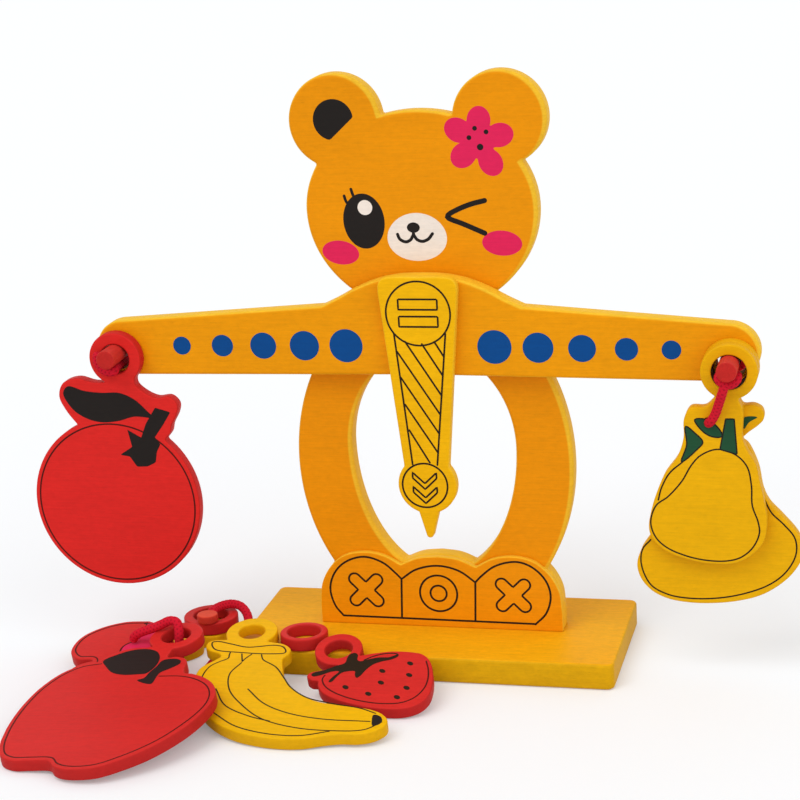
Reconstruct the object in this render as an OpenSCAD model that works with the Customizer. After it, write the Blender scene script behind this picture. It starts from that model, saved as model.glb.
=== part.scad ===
// Wooden balance scale toy: a bear-shaped stand carries a beam on one screw,
// fruit boards hang from a stick at each end of the beam, and loose fruit
// boards lie in front. Millimetres, +Z up, the bear's face looks along -Y.
// The origin is on the floor, under the middle of the bear's front face.

/* [Base board] */
// Width of the base board
base_w = 170; // [150:1:200]
// Depth of the base board
base_d = 76; // [70:1:90]
// Thickness of the base board
base_t = 11.5; // [10:0.5:14]
// Radius of the base board's upright corners
base_corner_r = 3.5; // [1:0.5:8]
// How far the base board reaches in front of the bear's face
base_front = 37.25; // [34:0.25:42]
// How far the base board's middle lies to the left of the bear's middle
base_offset = 2.5; // [0:0.5:5]

/* [Bear] */
// Thickness of the bear board
bear_t = 9; // [8:0.5:14]
// Half width of the head
head_half_w = 50.6; // [46:0.2:56]
// Height of the head's oval above its middle
head_up = 42.3; // [38:0.1:48]
// Depth of the head's oval below its middle
head_down = 45.4; // [42:0.1:50]
// Height of the head's middle above the base board
head_rise = 189.1; // [184:0.1:192]
// Radius of an ear
ear_r = 20.2; // [16:0.1:24]
// Distance of an ear's middle from the bear's middle
ear_x = 35.6; // [30:0.1:40]
// Height of an ear's middle above the head's middle
ear_up = 38.3; // [34:0.1:42]
// Half width of the body
body_half_w = 62; // [58:0.5:68]
// Height of the body's middle above the base board
body_rise = 76.5; // [74:0.5:80]
// Depth of the body's oval below its middle, where the base board cuts it off
body_down = 78; // [77:0.5:84]
// How far the body's oval reaches up into the head
neck_overlap = 10.8; // [8:0.1:14]
// Half width of the window between the legs
window_half_w = 36.8; // [30:0.2:42]
// Height of board left between the window and the pivot's middle
pivot_land = 18.5; // [14:0.5:24]
// Depth of the window below its middle
window_down = 59.5; // [55:0.5:64]
// Height of the window's middle above the base board
window_rise = 83.5; // [80:0.5:86]
// Half width of the feet
foot_half_w = 55.3; // [52:0.1:60]
// Height of the feet above the base board
foot_h = 34.5; // [30:0.5:40]
// Thickness of the plate on the front of the feet
foot_plate_t = 3; // [2:0.5:5]

/* [Base screws] */
// Radius of a base screw's shank
base_screw_r = 2; // [1.5:0.1:2.5]
// Radius of a base screw's head
base_screw_head_r = 4; // [3.5:0.1:5]
// Length of a base screw
base_screw_l = 28; // [22:1:32]
// Distance of each base screw from the bear's middle
base_screw_x = 33.6; // [26:0.2:40]

/* [Pivot] */
// Height of the pivot above the base board
pivot_rise = 146.5; // [144:0.5:148]
// Radius of the pivot screw's shank
pivot_r = 3; // [2:0.1:3.5]
// Radius of the pivot screw's head
pivot_head_r = 5; // [4:0.1:6]
// Thickness of the pivot screw's head
pivot_head_t = 2.4; // [1.5:0.1:2.8]
// Thickness of the washer under the head
head_washer_t = 0.9; // [0.5:0.1:1]
// Radius of both washers
washer_r = 7; // [6.5:0.1:9]
// Thickness of the washer between the beam and the bear
spacer_t = 0.5; // [0.4:0.1:1.5]
// Depth of the hole for the screw in the bear board
pilot_depth = 7.5; // [6:0.5:7.5]

/* [Beam] */
// Thickness of the beam
beam_t = 8.5; // [8:0.5:12]
// Length of the beam's left arm from the pivot
arm_left = 149; // [145:1:160]
// Length of the beam's right arm from the pivot
arm_right = 143; // [139:1:156]
// Depth of the beam's bottom edge below the pivot, in its middle
beam_below = 27.7; // [24:0.1:32]
// How much lower the bottom edge lies at the ends
beam_end_drop = 1.4; // [0:0.1:3]
// Height of the beam at the foot of its hump
beam_shoulder_h = 30.1; // [28:0.1:34]
// Height of the beam at its ends
beam_end_h = 24.8; // [24:0.1:30]
// Half width of the hump
hump_half_w = 44; // [36:0.5:52]
// Height of the hump
hump_h = 13.6; // [8:0.1:15]
// Length of the rounded end of an arm
beam_end_r = 13; // [10:0.5:15]
// Radius of the holes for the sticks
stick_hole_r = 6.4; // [6.3:0.1:6.8]

/* [Pointer] */
// Thickness of the pointer
pointer_t = 5; // [4:0.5:8]
// Height of the pointer above the pivot
pointer_up = 16.5; // [14:0.1:20]
// Half width of the pointer at its top
pointer_half_w = 17.3; // [14:0.1:20]
// Half width of the pointer where it meets its disc
pointer_waist = 9.9; // [8:0.1:11]
// Radius of the pointer's disc
disc_r = 13; // [12:0.1:15]
// Depth of the disc's middle below the pivot
disc_drop = 76; // [70:0.5:80]
// Half width of the tip where it leaves the disc
tip_half_w = 4.4; // [3:0.1:6]
// Depth of the tip's end below the pivot
tip_drop = 100.2; // [94:0.2:104]
// Radius of the tip's end
tip_r = 1.6; // [1:0.1:2.5]

/* [Sticks] */
// Radius of the sticks
stick_r = 4.25; // [4:0.05:4.4]
// Length of the left stick
left_stick_l = 32; // [28:0.5:38]
// Length of the right stick
right_stick_l = 32; // [28:0.5:38]
// Distance of the left stick from the beam's left end
left_stick_in = 10; // [9.5:0.5:13]
// Distance of the right stick from the beam's right end
right_stick_in = 12; // [11:0.5:15]
// Depth of the left stick below the pivot
left_stick_drop = 18.1; // [17:0.1:18.5]
// Depth of the right stick below the pivot
right_stick_drop = 18.8; // [17:0.1:19]
// How far the left stick stands out in front of the bear's face
left_stick_front = 25.5; // [22:0.5:29]
// How far the right stick stands out in front of the bear's face
right_stick_front = 31; // [27:0.5:34]

/* [Fruit boards] */
// Thickness of every fruit board
fruit_t = 5.5; // [4.5:0.1:5.6]
// Length that the round fruit's outline follows
round_fruit_size = 100; // [90:1:104]
// Length that the front pear's outline follows
front_pear_size = 100; // [94:1:106]
// Length that the back pear's outline follows
back_pear_size = 100; // [94:1:106]
// Length that the apple's outline follows
apple_size = 100; // [97:1:103]
// Length that the peach's outline follows
peach_size = 100; // [92:1:102]
// Length that the banana's outline follows
banana_size = 100; // [97:1:103]
// Length that the small banana's outline follows
small_banana_size = 60; // [54:1:62]
// Length that the strawberry's outline follows
strawberry_size = 100; // [92:1:104]

/* [Rings] */
// Radius of the round fruit's ring
round_ring_r = 12; // [11:0.1:13]
// Radius of the round fruit's hole
round_hole_r = 6.7; // [6.5:0.1:7.5]
// Radius of both pears' rings
pear_ring_r = 11.8; // [11:0.1:13]
// Radius of both pears' holes
pear_hole_r = 7.2; // [6.9:0.1:7.5]
// Radius of the apple's ring
apple_ring_r = 12; // [10:0.1:12.5]
// Radius of the apple's hole
apple_hole_r = 6.5; // [5.5:0.1:7]
// Radius of the peach's ring
peach_ring_r = 10.5; // [9:0.1:11.5]
// Radius of the peach's hole
peach_hole_r = 5.5; // [5:0.1:6]
// Radius of the banana's ring
banana_ring_r = 11.5; // [10.5:0.1:12]
// Radius of the banana's hole
banana_hole_r = 5.8; // [5:0.1:6.5]
// Radius of the small banana's ring
small_banana_ring_r = 12; // [10:0.1:12.5]
// Radius of the small banana's hole
small_banana_hole_r = 6; // [5:0.1:7]
// Radius of the strawberry's ring
strawberry_ring_r = 10.5; // [9.5:0.1:11.5]
// Radius of the strawberry's hole
strawberry_hole_r = 6; // [5:0.1:6.5]
// Radius of the ring that lies on the base board
base_ring_r = 10.6; // [9.5:0.1:11]
// Radius of the hole in the ring on the base board
base_ring_hole_r = 7.4; // [6:0.1:7.6]
// Radius of the ring that lies behind the pile
far_ring_r = 12.5; // [11:0.1:12.5]
// Radius of the hole in the ring behind the pile
far_ring_hole_r = 8; // [7:0.1:8.5]

/* [Cords] */
// Diameter of the short cords at the sticks
short_cord_d = 3.6; // [3:0.1:3.6]
// Diameter of the cord in the pile
pile_cord_d = 4; // [3:0.1:4]
// Radius of the holes for the short cords
lacing_r = 2.2; // [2:0.1:2.6]
// Radius of the cord's button
button_r = 4.8; // [4:0.1:5]
// Thickness of the cord's button
button_t = 3.7; // [3:0.1:4]

/* [Hidden] */
$fn = 96;

// Clearances between pieces
running_gap = 0.05;
screw_gap = 0.06;
bore_gap = 0.08;
board_gap = 0.3;
seat_gap = 0.2;
// Extra length of every cut, so that it passes right through
overrun = 1;
// A direction that no cord starts along
tube_side = [0.6, 0.7, 0.4];
// Smallest distance that counts between two points of a curve
tiny = 0.001;
// Curve steps between two points of an outline, and around an oval
curve_steps = 5;
oval_steps = 96;

// Places along the depth, with the bear's face at zero
beam_back = -spacer_t;
beam_face = beam_back - beam_t;
pointer_face = beam_face - pointer_t;
rear_fruit_back = beam_face - board_gap;
rear_fruit_face = rear_fruit_back - fruit_t;
front_fruit_back = rear_fruit_face - board_gap;

// Left end and front edge of the base board
base_end_x = -base_offset - base_w / 2;
base_front_y = -base_front;

// Distances of the sticks from the bear's middle
left_stick_x = arm_left - left_stick_in;
right_stick_x = arm_right - right_stick_in;

// Heights above the floor
head_z = base_t + head_rise;
ear_z = head_z + ear_up;
body_z = base_t + body_rise;
body_up = head_rise - head_down + neck_overlap - body_rise;
window_z = base_t + window_rise;
window_up = pivot_rise - pivot_land - window_rise;
pivot_z = base_t + pivot_rise;
left_stick_z = pivot_z - left_stick_drop;
right_stick_z = pivot_z - right_stick_drop;

// Chamfer and share of the head sizes on the screws
stick_chamfer = 0.6;
slot_w = 0.9;
slot_depth = 0.7;
screw_sink = 0.5;
screw_point_share = 0.15;

// Outline of one foot from its outer corner to the notch, and of the rise
// between the feet, as shares of the feet's half width and height
foot_lobe_shares = [[1, 0.25], [0.98, 0.54], [0.9, 0.78], [0.78, 0.94], [0.61, 1], [0.45, 0.96], [0.31, 0.84]];
foot_middle_shares = [[0.31, 0.84], [0.16, 0.94], [0, 0.97]];

// Rise of the beam's hump, as shares of its half width and height
hump_shares = [[1, 0], [0.85, 0.23], [0.68, 0.52], [0.45, 0.82], [0.22, 0.97], [0, 1]];

// Rounded top corner of the pointer, as shares of its half width and of its
// height above the pivot
pointer_top_shares = [[0, 1], [0.66, 1], [0.88, 0.95], [0.98, 0.82], [1, 0.61]];

// Fruit outlines from the middle of the ring, as shares of each fruit's size
round_leaf_shares = [
    [-0.04, -0.07], [-0.04, -0.1], [-0.11, -0.108], [-0.19, -0.09], [-0.26, -0.115], [-0.283, -0.175],
    [-0.26, -0.235], [-0.205, -0.31], [-0.12, -0.4], [0.12, -0.42], [0.227, -0.342], [0.24, -0.3],
    [0.27, -0.245], [0.275, -0.205], [0.24, -0.17], [0.18, -0.175], [0.13, -0.155], [0.085, -0.115],
    [0.08, -0.07]
];
round_body_share = 0.392;
round_body_x_share = -0.053;
round_body_y_share = -0.67;
front_pear_shares = [
    [-0.04, -0.085], [-0.07, -0.123], [-0.1, -0.148], [-0.16, -0.153], [-0.187, -0.203], [-0.19, -0.283],
    [-0.215, -0.363], [-0.27, -0.443], [-0.305, -0.523], [-0.33, -0.603], [-0.343, -0.683], [-0.33, -0.733],
    [-0.28, -0.783], [-0.19, -0.82], [-0.08, -0.838], [0.01, -0.833], [0.08, -0.798], [0.135, -0.733],
    [0.15, -0.643], [0.14, -0.563], [0.12, -0.463], [0.105, -0.393], [0.07, -0.333], [0.053, -0.283],
    [0.055, -0.163], [0.04, -0.125], [0.03, -0.085]
];
back_pear_shares = [
    [-0.04, -0.085], [-0.06, -0.12], [-0.09, -0.16], [-0.14, -0.2], [-0.12, -0.28], [-0.14, -0.38],
    [-0.2, -0.5], [-0.27, -0.62], [-0.34, -0.733], [-0.385, -0.803], [-0.405, -0.873], [-0.39, -0.935],
    [-0.345, -0.99], [-0.275, -1.025], [-0.185, -1.039], [-0.095, -1.039], [0.015, -1.025],
    [0.115, -0.995], [0.195, -0.945], [0.255, -0.884], [0.295, -0.803], [0.285, -0.74], [0.265, -0.703],
    [0.205, -0.633], [0.155, -0.578], [0.13, -0.523], [0.11, -0.42], [0.07, -0.33], [0.045, -0.306],
    [0.065, -0.28], [0.115, -0.24], [0.135, -0.215], [0.13, -0.175], [0.095, -0.155], [0.05, -0.155],
    [0.035, -0.12], [0.03, -0.085]
];
apple_shares = [
    [-0.06, -0.085], [-0.1, -0.1], [-0.165, -0.103], [-0.235, -0.14], [-0.295, -0.22], [-0.355, -0.242],
    [-0.425, -0.31], [-0.475, -0.425], [-0.497, -0.545], [-0.502, -0.675], [-0.492, -0.795],
    [-0.465, -0.915], [-0.425, -0.985], [-0.365, -1.015], [-0.295, -1.015], [-0.205, -1.02],
    [-0.165, -1.062], [-0.115, -1.083], [-0.045, -1.087], [0.025, -1.073], [0.11, -1.02],
    [0.185, -0.955], [0.245, -0.88], [0.305, -0.775], [0.34, -0.675], [0.355, -0.585], [0.35, -0.515],
    [0.315, -0.435], [0.255, -0.375], [0.185, -0.34], [0.155, -0.335], [0.14, -0.305], [0.135, -0.255],
    [0.115, -0.21], [0.065, -0.19], [0.03, -0.195], [0.025, -0.13], [0.03, -0.085]
];
banana_shares = [
    [-0.06, -0.06], [-0.1, -0.075], [-0.14, -0.08], [-0.17, -0.1], [-0.17, -0.14], [-0.14, -0.17],
    [-0.1, -0.185], [-0.08, -0.21], [-0.1, -0.245], [-0.14, -0.305], [-0.145, -0.365], [-0.135, -0.425],
    [-0.1, -0.505], [-0.04, -0.615], [0.04, -0.7], [0.14, -0.76], [0.24, -0.79], [0.34, -0.802],
    [0.44, -0.795], [0.54, -0.76], [0.6, -0.745], [0.67, -0.74], [0.73, -0.715], [0.77, -0.665],
    [0.77, -0.625], [0.74, -0.585], [0.68, -0.555], [0.54, -0.535], [0.44, -0.515], [0.36, -0.475],
    [0.3, -0.415], [0.25, -0.345], [0.22, -0.265], [0.205, -0.205], [0.22, -0.165], [0.215, -0.125],
    [0.175, -0.09], [0.11, -0.075], [0.06, -0.06]
];
strawberry_shares = [
    [0.01, -0.06], [0.02, -0.11], [-0.035, -0.14], [-0.09, -0.165], [-0.095, -0.19], [-0.07, -0.212],
    [-0.04, -0.215], [-0.035, -0.24], [-0.005, -0.285], [0.065, -0.325], [0.165, -0.355],
    [0.265, -0.37], [0.365, -0.363], [0.425, -0.33], [0.455, -0.28], [0.46, -0.21], [0.445, -0.12],
    [0.415, -0.045], [0.375, -0.007], [0.325, 0.003], [0.245, 0.003], [0.165, -0.015], [0.09, -0.035],
    [0.03, 0]
];
// Left half of the peach, from its ring to the tip at its far end
peach_half_shares = [
    [-0.03, -0.06], [-0.035, -0.08], [-0.06, -0.105], [-0.13, -0.095], [-0.2, -0.14], [-0.235, -0.22],
    [-0.235, -0.3], [-0.19, -0.385], [-0.11, -0.45], [0, -0.48]
];
// Holes for the short cords, as shares of the pear's and the peach's sizes
pear_lacing_shares = [-0.085, -0.218];
peach_lacing_shares = [-0.06, -0.28];

// Loose fruit: how far each ring's middle lies in from the base board's left
// end and back from its front edge, with turns and tilts
banana_in = 8.5;
banana_over = 5.75;
strawberry_in = 51;
strawberry_over = -3.55;
apple_in = -22.5;
apple_over = -5.95;
apple_tilt = 6.37;
apple_roll = 4.29;
small_banana_in = -22.5;
small_banana_over = 38.25;
small_banana_turn = -18;
base_ring_in = 31.1;
base_ring_over = 9.75;
button_in = -21;
button_over = 29.45;
// Place of the peach on the apple's slope, from the apple's ring
peach_x = -35.1;
peach_y = -21;
peach_turn = 165;

// Middle of the front pear's hole for its cord, from its ring, and how much
// higher the cord arrives in front of it
pear_lacing_x = pear_lacing_shares[0] * front_pear_size;
pear_lacing_z = pear_lacing_shares[1] * front_pear_size;
cord_arrival = 0.5;

// Routes of the cords, point by point: from the left stick, from the front
// pear's ring and from the base board's left front corner
left_cord_route = [
    [-6.5, -17.6, 1.6], [-7, -17.6, -2.4], [-5.4, -17.6, -5.7], [-2.4, -17.4, -7.5], [0, -16.8, -7.4],
    [0, -14.5, -6.6], [0, -10, -6.4], [0, -4, -6.4], [0, 2, -6.4]
];
right_cord_route = [
    [2, -15.8, -4.4], [2, -20.5, -4.7], [1, -23, -6.1], [-2.5, -23.4, -9.3], [-6, -23.6, -14.8], [-8, -23.8, -18.7],
    [pear_lacing_x, -22.9, pear_lacing_z + cord_arrival], [pear_lacing_x, -20, pear_lacing_z],
    [pear_lacing_x, -16.5, pear_lacing_z]
];
pile_cord_route = [
    [-45, -1.75, 13.4], [-44.5, -1.75, 17], [-41, -1.75, 20], [-34.5, -1.25, 22.2], [-28.5, -0.75, 24.5],
    [-24, -1.75, 24.2], [-22.5, -3.75, 21], [-22.5, -4.75, 15], [-22.5, -6.25, 8], [-22.5, -9.75, 3.5],
    [-22, -15.75, 2.1], [-18.5, -20.75, 2.1], [-13.5, -20.75, 2.1], [-11, -14.75, 2.1], [-11, -6.75, 2.1],
    [-11, 1.25, 2.1], [-10.5, 9.25, 2.1], [-8.5, 17.25, 2.1], [-6.5, 25.25, 2.1], [-5.5, 33.25, 2.5],
    [-5, 40.25, 5.5], [-5.5, 46.25, 10.5], [-8.5, 50.25, 14], [-14, 50.75, 15], [-19.5, 46.75, 14.2],
    [-21.3, 40.25, 13.8], [-21, 34.45, 13.7]
];
// Knot of the left cord behind the beam
knot_r = 3.2;
knot_y = 3;
knot_below_stick = 8;

// A point on an oval
function oval_point(half_w, up, down, a) = [half_w * cos(a), (sin(a) >= 0 ? up : down) * sin(a)];

// Points round an oval about its middle
function oval(half_w, up, down) = [for (i = [0 : oval_steps - 1]) oval_point(half_w, up, down, i * 360 / oval_steps)];

// Points on an arc
function arc(x, y, r_x, r_y, from, to, steps) =
    [for (i = [0 : steps]) let(a = from + (to - from) * i / steps) [x + r_x * cos(a), y + r_y * sin(a)]];

// Spacing of two points on a curve
function spacing(p, q) = sqrt(max(norm(q - p), tiny));

// Part of a smooth curve from p1 to p2, between its neighbours p0 and p3
function span_points(p0, p1, p2, p3) = let(
    a = spacing(p0, p1),
    b = spacing(p1, p2),
    c = spacing(p2, p3),
    run = p2 - p1,
    m1 = run + b * ((p1 - p0) / a - (p2 - p0) / (a + b)),
    m2 = run + b * ((p3 - p2) / c - (p3 - p1) / (b + c))
) [for (i = [0 : curve_steps - 1]) let(t = i / curve_steps)
    p1 + t * m1 + t * t * (3 * run - 2 * m1 - m2) + t * t * t * (m1 + m2 - 2 * run)];

// Smooth curve through points, open at its ends
function open_curve(points) = let(
    last = len(points) - 1,
    before = 2 * points[0] - points[1],
    after = 2 * points[last] - points[last - 1]
) concat([for (i = [0 : last - 1]) each span_points(
    i == 0 ? before : points[i - 1], points[i], points[i + 1], i == last - 1 ? after : points[i + 2]
)], [points[last]]);

// Smooth closed curve through points
function closed_curve(points) = let(n = len(points)) [for (i = [0 : n - 1]) each span_points(
    points[(i + n - 1) % n], points[i], points[(i + 1) % n], points[(i + 2) % n]
)];

// The same points in reverse order, mirrored left to right
function mirrored(points) = [for (i = [len(points) - 1 : -1 : 0]) [-points[i][0], points[i][1]]];

// A closed outline from one half, whose last point is on the middle line
function both_halves(half) = concat(half, [for (p = mirrored(half)) if (p[0] != 0) p]);

// Shares turned into lengths
function sized(shares, w, h) = [for (s = shares) [s[0] * w, s[1] * h]];

// A board standing upright, its front face at the given depth
module upright(face_y, thickness) {
    translate([0, face_y + thickness, 0])
        rotate([90, 0, 0])
            linear_extrude(thickness)
                children();
}

// A round rod along the depth from its front end, at the given place
module rod(x, z, front_y, r, length) {
    translate([x, front_y + length, z])
        rotate([90, 0, 0])
            cylinder(r = r, h = length);
}

// A rod with bevelled ends
module bevelled_rod(x, z, front_y, r, length) {
    translate([x, front_y + length, z])
        rotate([90, 0, 0])
            rotate_extrude()
                polygon([
                    [0, 0], [r - stick_chamfer, 0], [r, stick_chamfer], [r, length - stick_chamfer],
                    [r - stick_chamfer, length], [0, length]
                ]);
}

// Right half of the feet's outline, from the outer bottom corner to the middle
function foot_half() = concat(
    [[foot_half_w, 0]],
    open_curve(sized(foot_lobe_shares, foot_half_w, foot_h)),
    open_curve(sized(foot_middle_shares, foot_half_w, foot_h))
);

// Outline of both feet
module feet_outline() {
    translate([0, base_t])
        polygon(both_halves(foot_half()));
}

// Outline of the bear board without its window
module bear_outline() {
    translate([0, head_z])
        polygon(oval(head_half_w, head_up, head_down));
    for (side = [-1, 1])
        translate([side * ear_x, ear_z])
            circle(r = ear_r);
    translate([0, body_z])
        intersection() {
            polygon(oval(body_half_w, body_up, body_down));
            translate([-body_half_w, -body_rise])
                square([2 * body_half_w, body_rise + body_up]);
        }
    feet_outline();
}

// Opening between the legs, down to the feet
module window_outline() {
    difference() {
        translate([0, window_z])
            polygon(oval(window_half_w, window_up, window_down));
        feet_outline();
    }
}

// Profile of a countersunk wood screw that points up, its head's face at zero
function screw_profile(r, head_r, length) = [
    [0, 0], [head_r, 0], [r, head_r - r], [r, length * (1 - screw_point_share)], [0, length]
];

// Outline of a rounded board on the plan
module rounded_board(w, d, r) {
    translate([-w / 2 + r, -d / 2])
        square([w - 2 * r, d]);
    translate([-w / 2, -d / 2 + r])
        square([w, d - 2 * r]);
    for (x = [-1, 1], y = [-1, 1])
        translate([x * (w / 2 - r), y * (d / 2 - r)])
            circle(r = r);
}

module base() {
    color("#f3a81f")
        difference() {
            translate([-base_offset, base_d / 2 - base_front, 0])
                linear_extrude(base_t)
                    rounded_board(base_w, base_d, base_corner_r);
            for (side = [-1, 1])
                translate([side * base_screw_x, bear_t / 2, 0]) {
                    rotate_extrude()
                        polygon([
                            [0, -overrun], [base_screw_head_r + screw_gap, -overrun],
                            [base_screw_head_r + screw_gap, screw_sink],
                            [base_screw_r + screw_gap, screw_sink + base_screw_head_r - base_screw_r],
                            [base_screw_r + screw_gap, base_t + overrun], [0, base_t + overrun]
                        ]);
                }
        }
}

module base_screws() {
    color("#b9bcc2")
        for (side = [-1, 1])
            translate([side * base_screw_x, bear_t / 2, screw_sink])
                difference() {
                    rotate_extrude()
                        polygon(screw_profile(base_screw_r, base_screw_head_r, base_screw_l));
                    translate([-base_screw_head_r, -slot_w / 2, -slot_depth])
                        cube([2 * base_screw_head_r, slot_w, 2 * slot_depth]);
                }
}

module bear_panel() {
    color("#ee950a")
        difference() {
            upright(0, bear_t)
                difference() {
                    bear_outline();
                    window_outline();
                }
            translate([0, pilot_depth, pivot_z])
                rotate([90, 0, 0])
                    cylinder(r = pivot_r + screw_gap, h = pilot_depth + overrun);
            for (side = [-1, 1])
                translate([side * base_screw_x, bear_t / 2, 0])
                    cylinder(r = base_screw_r + screw_gap, h = screw_sink + base_screw_l + overrun);
        }
}

module foot_plate() {
    color("#ee9310")
        upright(-foot_plate_t, foot_plate_t)
            feet_outline();
}

// Depth of the recess in the beam for the screw's head and washer
recess_depth = pivot_head_t + head_washer_t + 2 * board_gap;
recess_floor = beam_face + recess_depth;

module pivot_screw() {
    color("#b9bcc2")
        difference() {
            union() {
                rod(0, pivot_z, recess_floor - running_gap - head_washer_t - pivot_head_t, pivot_head_r, pivot_head_t);
                rod(
                    0, pivot_z, recess_floor - running_gap - head_washer_t - pivot_head_t / 2, pivot_r,
                    pilot_depth - board_gap - recess_floor + running_gap + head_washer_t + pivot_head_t / 2
                );
            }
            translate([
                -pivot_head_r, recess_floor - running_gap - head_washer_t - pivot_head_t - slot_depth,
                pivot_z - slot_w / 2
            ])
                cube([2 * pivot_head_r, 2 * slot_depth, slot_w]);
        }
}

module pivot_washers() {
    color("#c9ccd1")
        for (place = [
            [recess_floor - running_gap - head_washer_t, head_washer_t],
            [-spacer_t + running_gap, spacer_t - running_gap]
        ])
            difference() {
                rod(0, pivot_z, place[0], washer_r, place[1]);
                rod(0, pivot_z, place[0] - overrun, pivot_r + running_gap, place[1] + 2 * overrun);
            }
}

// Half of the beam's outline to the right, from its end's bottom to its top
function beam_half(arm) = let(
    low = -beam_below - beam_end_drop,
    mid = low + beam_end_h / 2
) concat(
    arc(arm - beam_end_r, mid, beam_end_r, beam_end_h / 2, -90, 90, 24),
    open_curve([for (s = hump_shares) [s[0] * hump_half_w, -beam_below + beam_shoulder_h + s[1] * hump_h]])
);

// Height of the middle of a hole whose top rests on a stick
function ring_z(stick_z, hole_r) = stick_z + stick_r + running_gap - hole_r;

module beam() {
    color("#ee9d18")
        difference() {
            upright(beam_face, beam_t)
                translate([0, pivot_z])
                    polygon(concat([[0, -beam_below]], beam_half(arm_right), mirrored(beam_half(arm_left))));
            rod(0, pivot_z, beam_face - overrun, pivot_r + bore_gap, beam_t + 2 * overrun);
            rod(0, pivot_z, beam_face - overrun, washer_r + board_gap, recess_depth + overrun);
            rod(-left_stick_x, ring_z(left_stick_z, stick_hole_r), beam_face - overrun, stick_hole_r, beam_t + 2 * overrun);
            rod(right_stick_x, ring_z(right_stick_z, stick_hole_r), beam_face - overrun, stick_hole_r, beam_t + 2 * overrun);
        }
}

// Right half of the pointer's outline about the pivot, from its top to its tip
function pointer_half() = let(
    waist_a = acos(pointer_waist / disc_r),
    tip_a = -acos(tip_half_w / disc_r)
) concat(
    open_curve(sized(pointer_top_shares, pointer_half_w, pointer_up)),
    arc(0, -disc_drop, disc_r, disc_r, waist_a, tip_a, 24),
    arc(0, tip_r - tip_drop, tip_r, tip_r, 0, -90, 6)
);

module pointer() {
    color("#e6ab1c")
        upright(pointer_face, pointer_t)
            translate([0, pivot_z])
                polygon(concat([[0, pointer_up]], pointer_half(), mirrored(pointer_half())));
}

module left_stick() {
    color("#c2302d")
        bevelled_rod(-left_stick_x, left_stick_z, -left_stick_front, stick_r, left_stick_l);
}

module right_stick() {
    color("#c2302d")
        bevelled_rod(right_stick_x, right_stick_z, -right_stick_front, stick_r, right_stick_l);
}

// Direction of a route at one of its points
function heading(route, i) = let(
    along = route[min(i + 1, len(route) - 1)] - route[max(i - 1, 0)]
) along / norm(along);

// Two directions across a route at each of its points, carried along it
// without a twist
function carried(route, i, across) = i == len(route) ? [] : let(
    t = heading(route, i),
    part = across - (across * t) * t,
    u = part / norm(part)
) concat([[u, cross(t, u)]], carried(route, i + 1, u));

// A tube swept along a route, with flat ends
module tube(route, d, sides) {
    rings = len(route);
    frames = carried(route, 0, cross(heading(route, 0), tube_side));
    points = [for (i = [0 : rings - 1], k = [0 : sides - 1]) let(
        a = 360 * k / sides
    ) route[i] + d / 2 * (cos(a) * frames[i][0] + sin(a) * frames[i][1])];
    faces = concat(
        [[for (k = [0 : sides - 1]) k]],
        [for (i = [0 : rings - 2], k = [0 : sides - 1]) let(
            n = (k + 1) % sides
        ) [i * sides + n, i * sides + k, (i + 1) * sides + k, (i + 1) * sides + n]],
        [[for (k = [sides - 1 : -1 : 0]) (rings - 1) * sides + k]]
    );
    polyhedron(points, faces, convexity = 6);
}

module left_cord() {
    color("#c4202c")
        translate([-left_stick_x, 0, left_stick_z])
            union() {
                tube(left_cord_route, short_cord_d, 8);
                translate([0, knot_y, -knot_below_stick])
                    sphere(r = knot_r);
            }
}

module right_cord() {
    color("#c4202c")
        translate([right_stick_x, 0, ring_z(right_stick_z, pear_hole_r)])
            tube(right_cord_route, short_cord_d, 8);
}

// Moves a loose piece in from the base board's left end, back from its front
// edge, and up
module from_corner(inwards = 0, back = 0, up = 0) {
    translate([base_end_x + inwards, base_front_y + back, up])
        children();
}

module pile_cord() {
    color("#c4202c")
        from_corner()
            tube(pile_cord_route, pile_cord_d, 8);
}

// A flat board with a ring: its outline is united with the ring, and the
// ring's hole goes right through
module ringed_board(ring_r, hole_r) {
    difference() {
        linear_extrude(fruit_t)
            union() {
                circle(r = ring_r);
                children();
            }
        translate([0, 0, -overrun])
            cylinder(r = hole_r, h = fruit_t + 2 * overrun);
    }
}

// Hangs a board from a stick: the top of its hole rests on the stick
module hung(x, stick_z, back_y, hole_r) {
    translate([x, back_y, ring_z(stick_z, hole_r)])
        rotate([90, 0, 0])
            children();
}

module round_fruit() {
    color("#d8292a")
        hung(-left_stick_x, left_stick_z, rear_fruit_back, round_hole_r)
            ringed_board(round_ring_r, round_hole_r) {
                polygon(closed_curve(sized(round_leaf_shares, round_fruit_size, round_fruit_size)));
                translate([round_body_x_share * round_fruit_size, round_body_y_share * round_fruit_size])
                    circle(r = round_body_share * round_fruit_size);
            }
}

module front_pear() {
    color("#e6a606")
        hung(right_stick_x, right_stick_z, front_fruit_back, pear_hole_r)
            difference() {
                ringed_board(pear_ring_r, pear_hole_r)
                    polygon(closed_curve(sized(front_pear_shares, front_pear_size, front_pear_size)));
                translate([pear_lacing_x, pear_lacing_z, -overrun])
                    cylinder(r = lacing_r, h = fruit_t + 2 * overrun);
            }
}

module back_pear() {
    color("#e6a606")
        hung(right_stick_x, right_stick_z, rear_fruit_back, pear_hole_r)
            ringed_board(pear_ring_r, pear_hole_r)
                polygon(closed_curve(sized(back_pear_shares, back_pear_size, back_pear_size)));
}

// Tilt of a board that lies with its low edge on the floor and rests on the
// base board's front edge: reach is the way from its ring to the low edge
function lean(reach, over) = asin((base_t + seat_gap) / (reach - over));

// Lowest place of an outline along a slope
function lowest(points, slope_x, slope_y) = min([for (p = points) p[0] * slope_x + p[1] * slope_y]);

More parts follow.
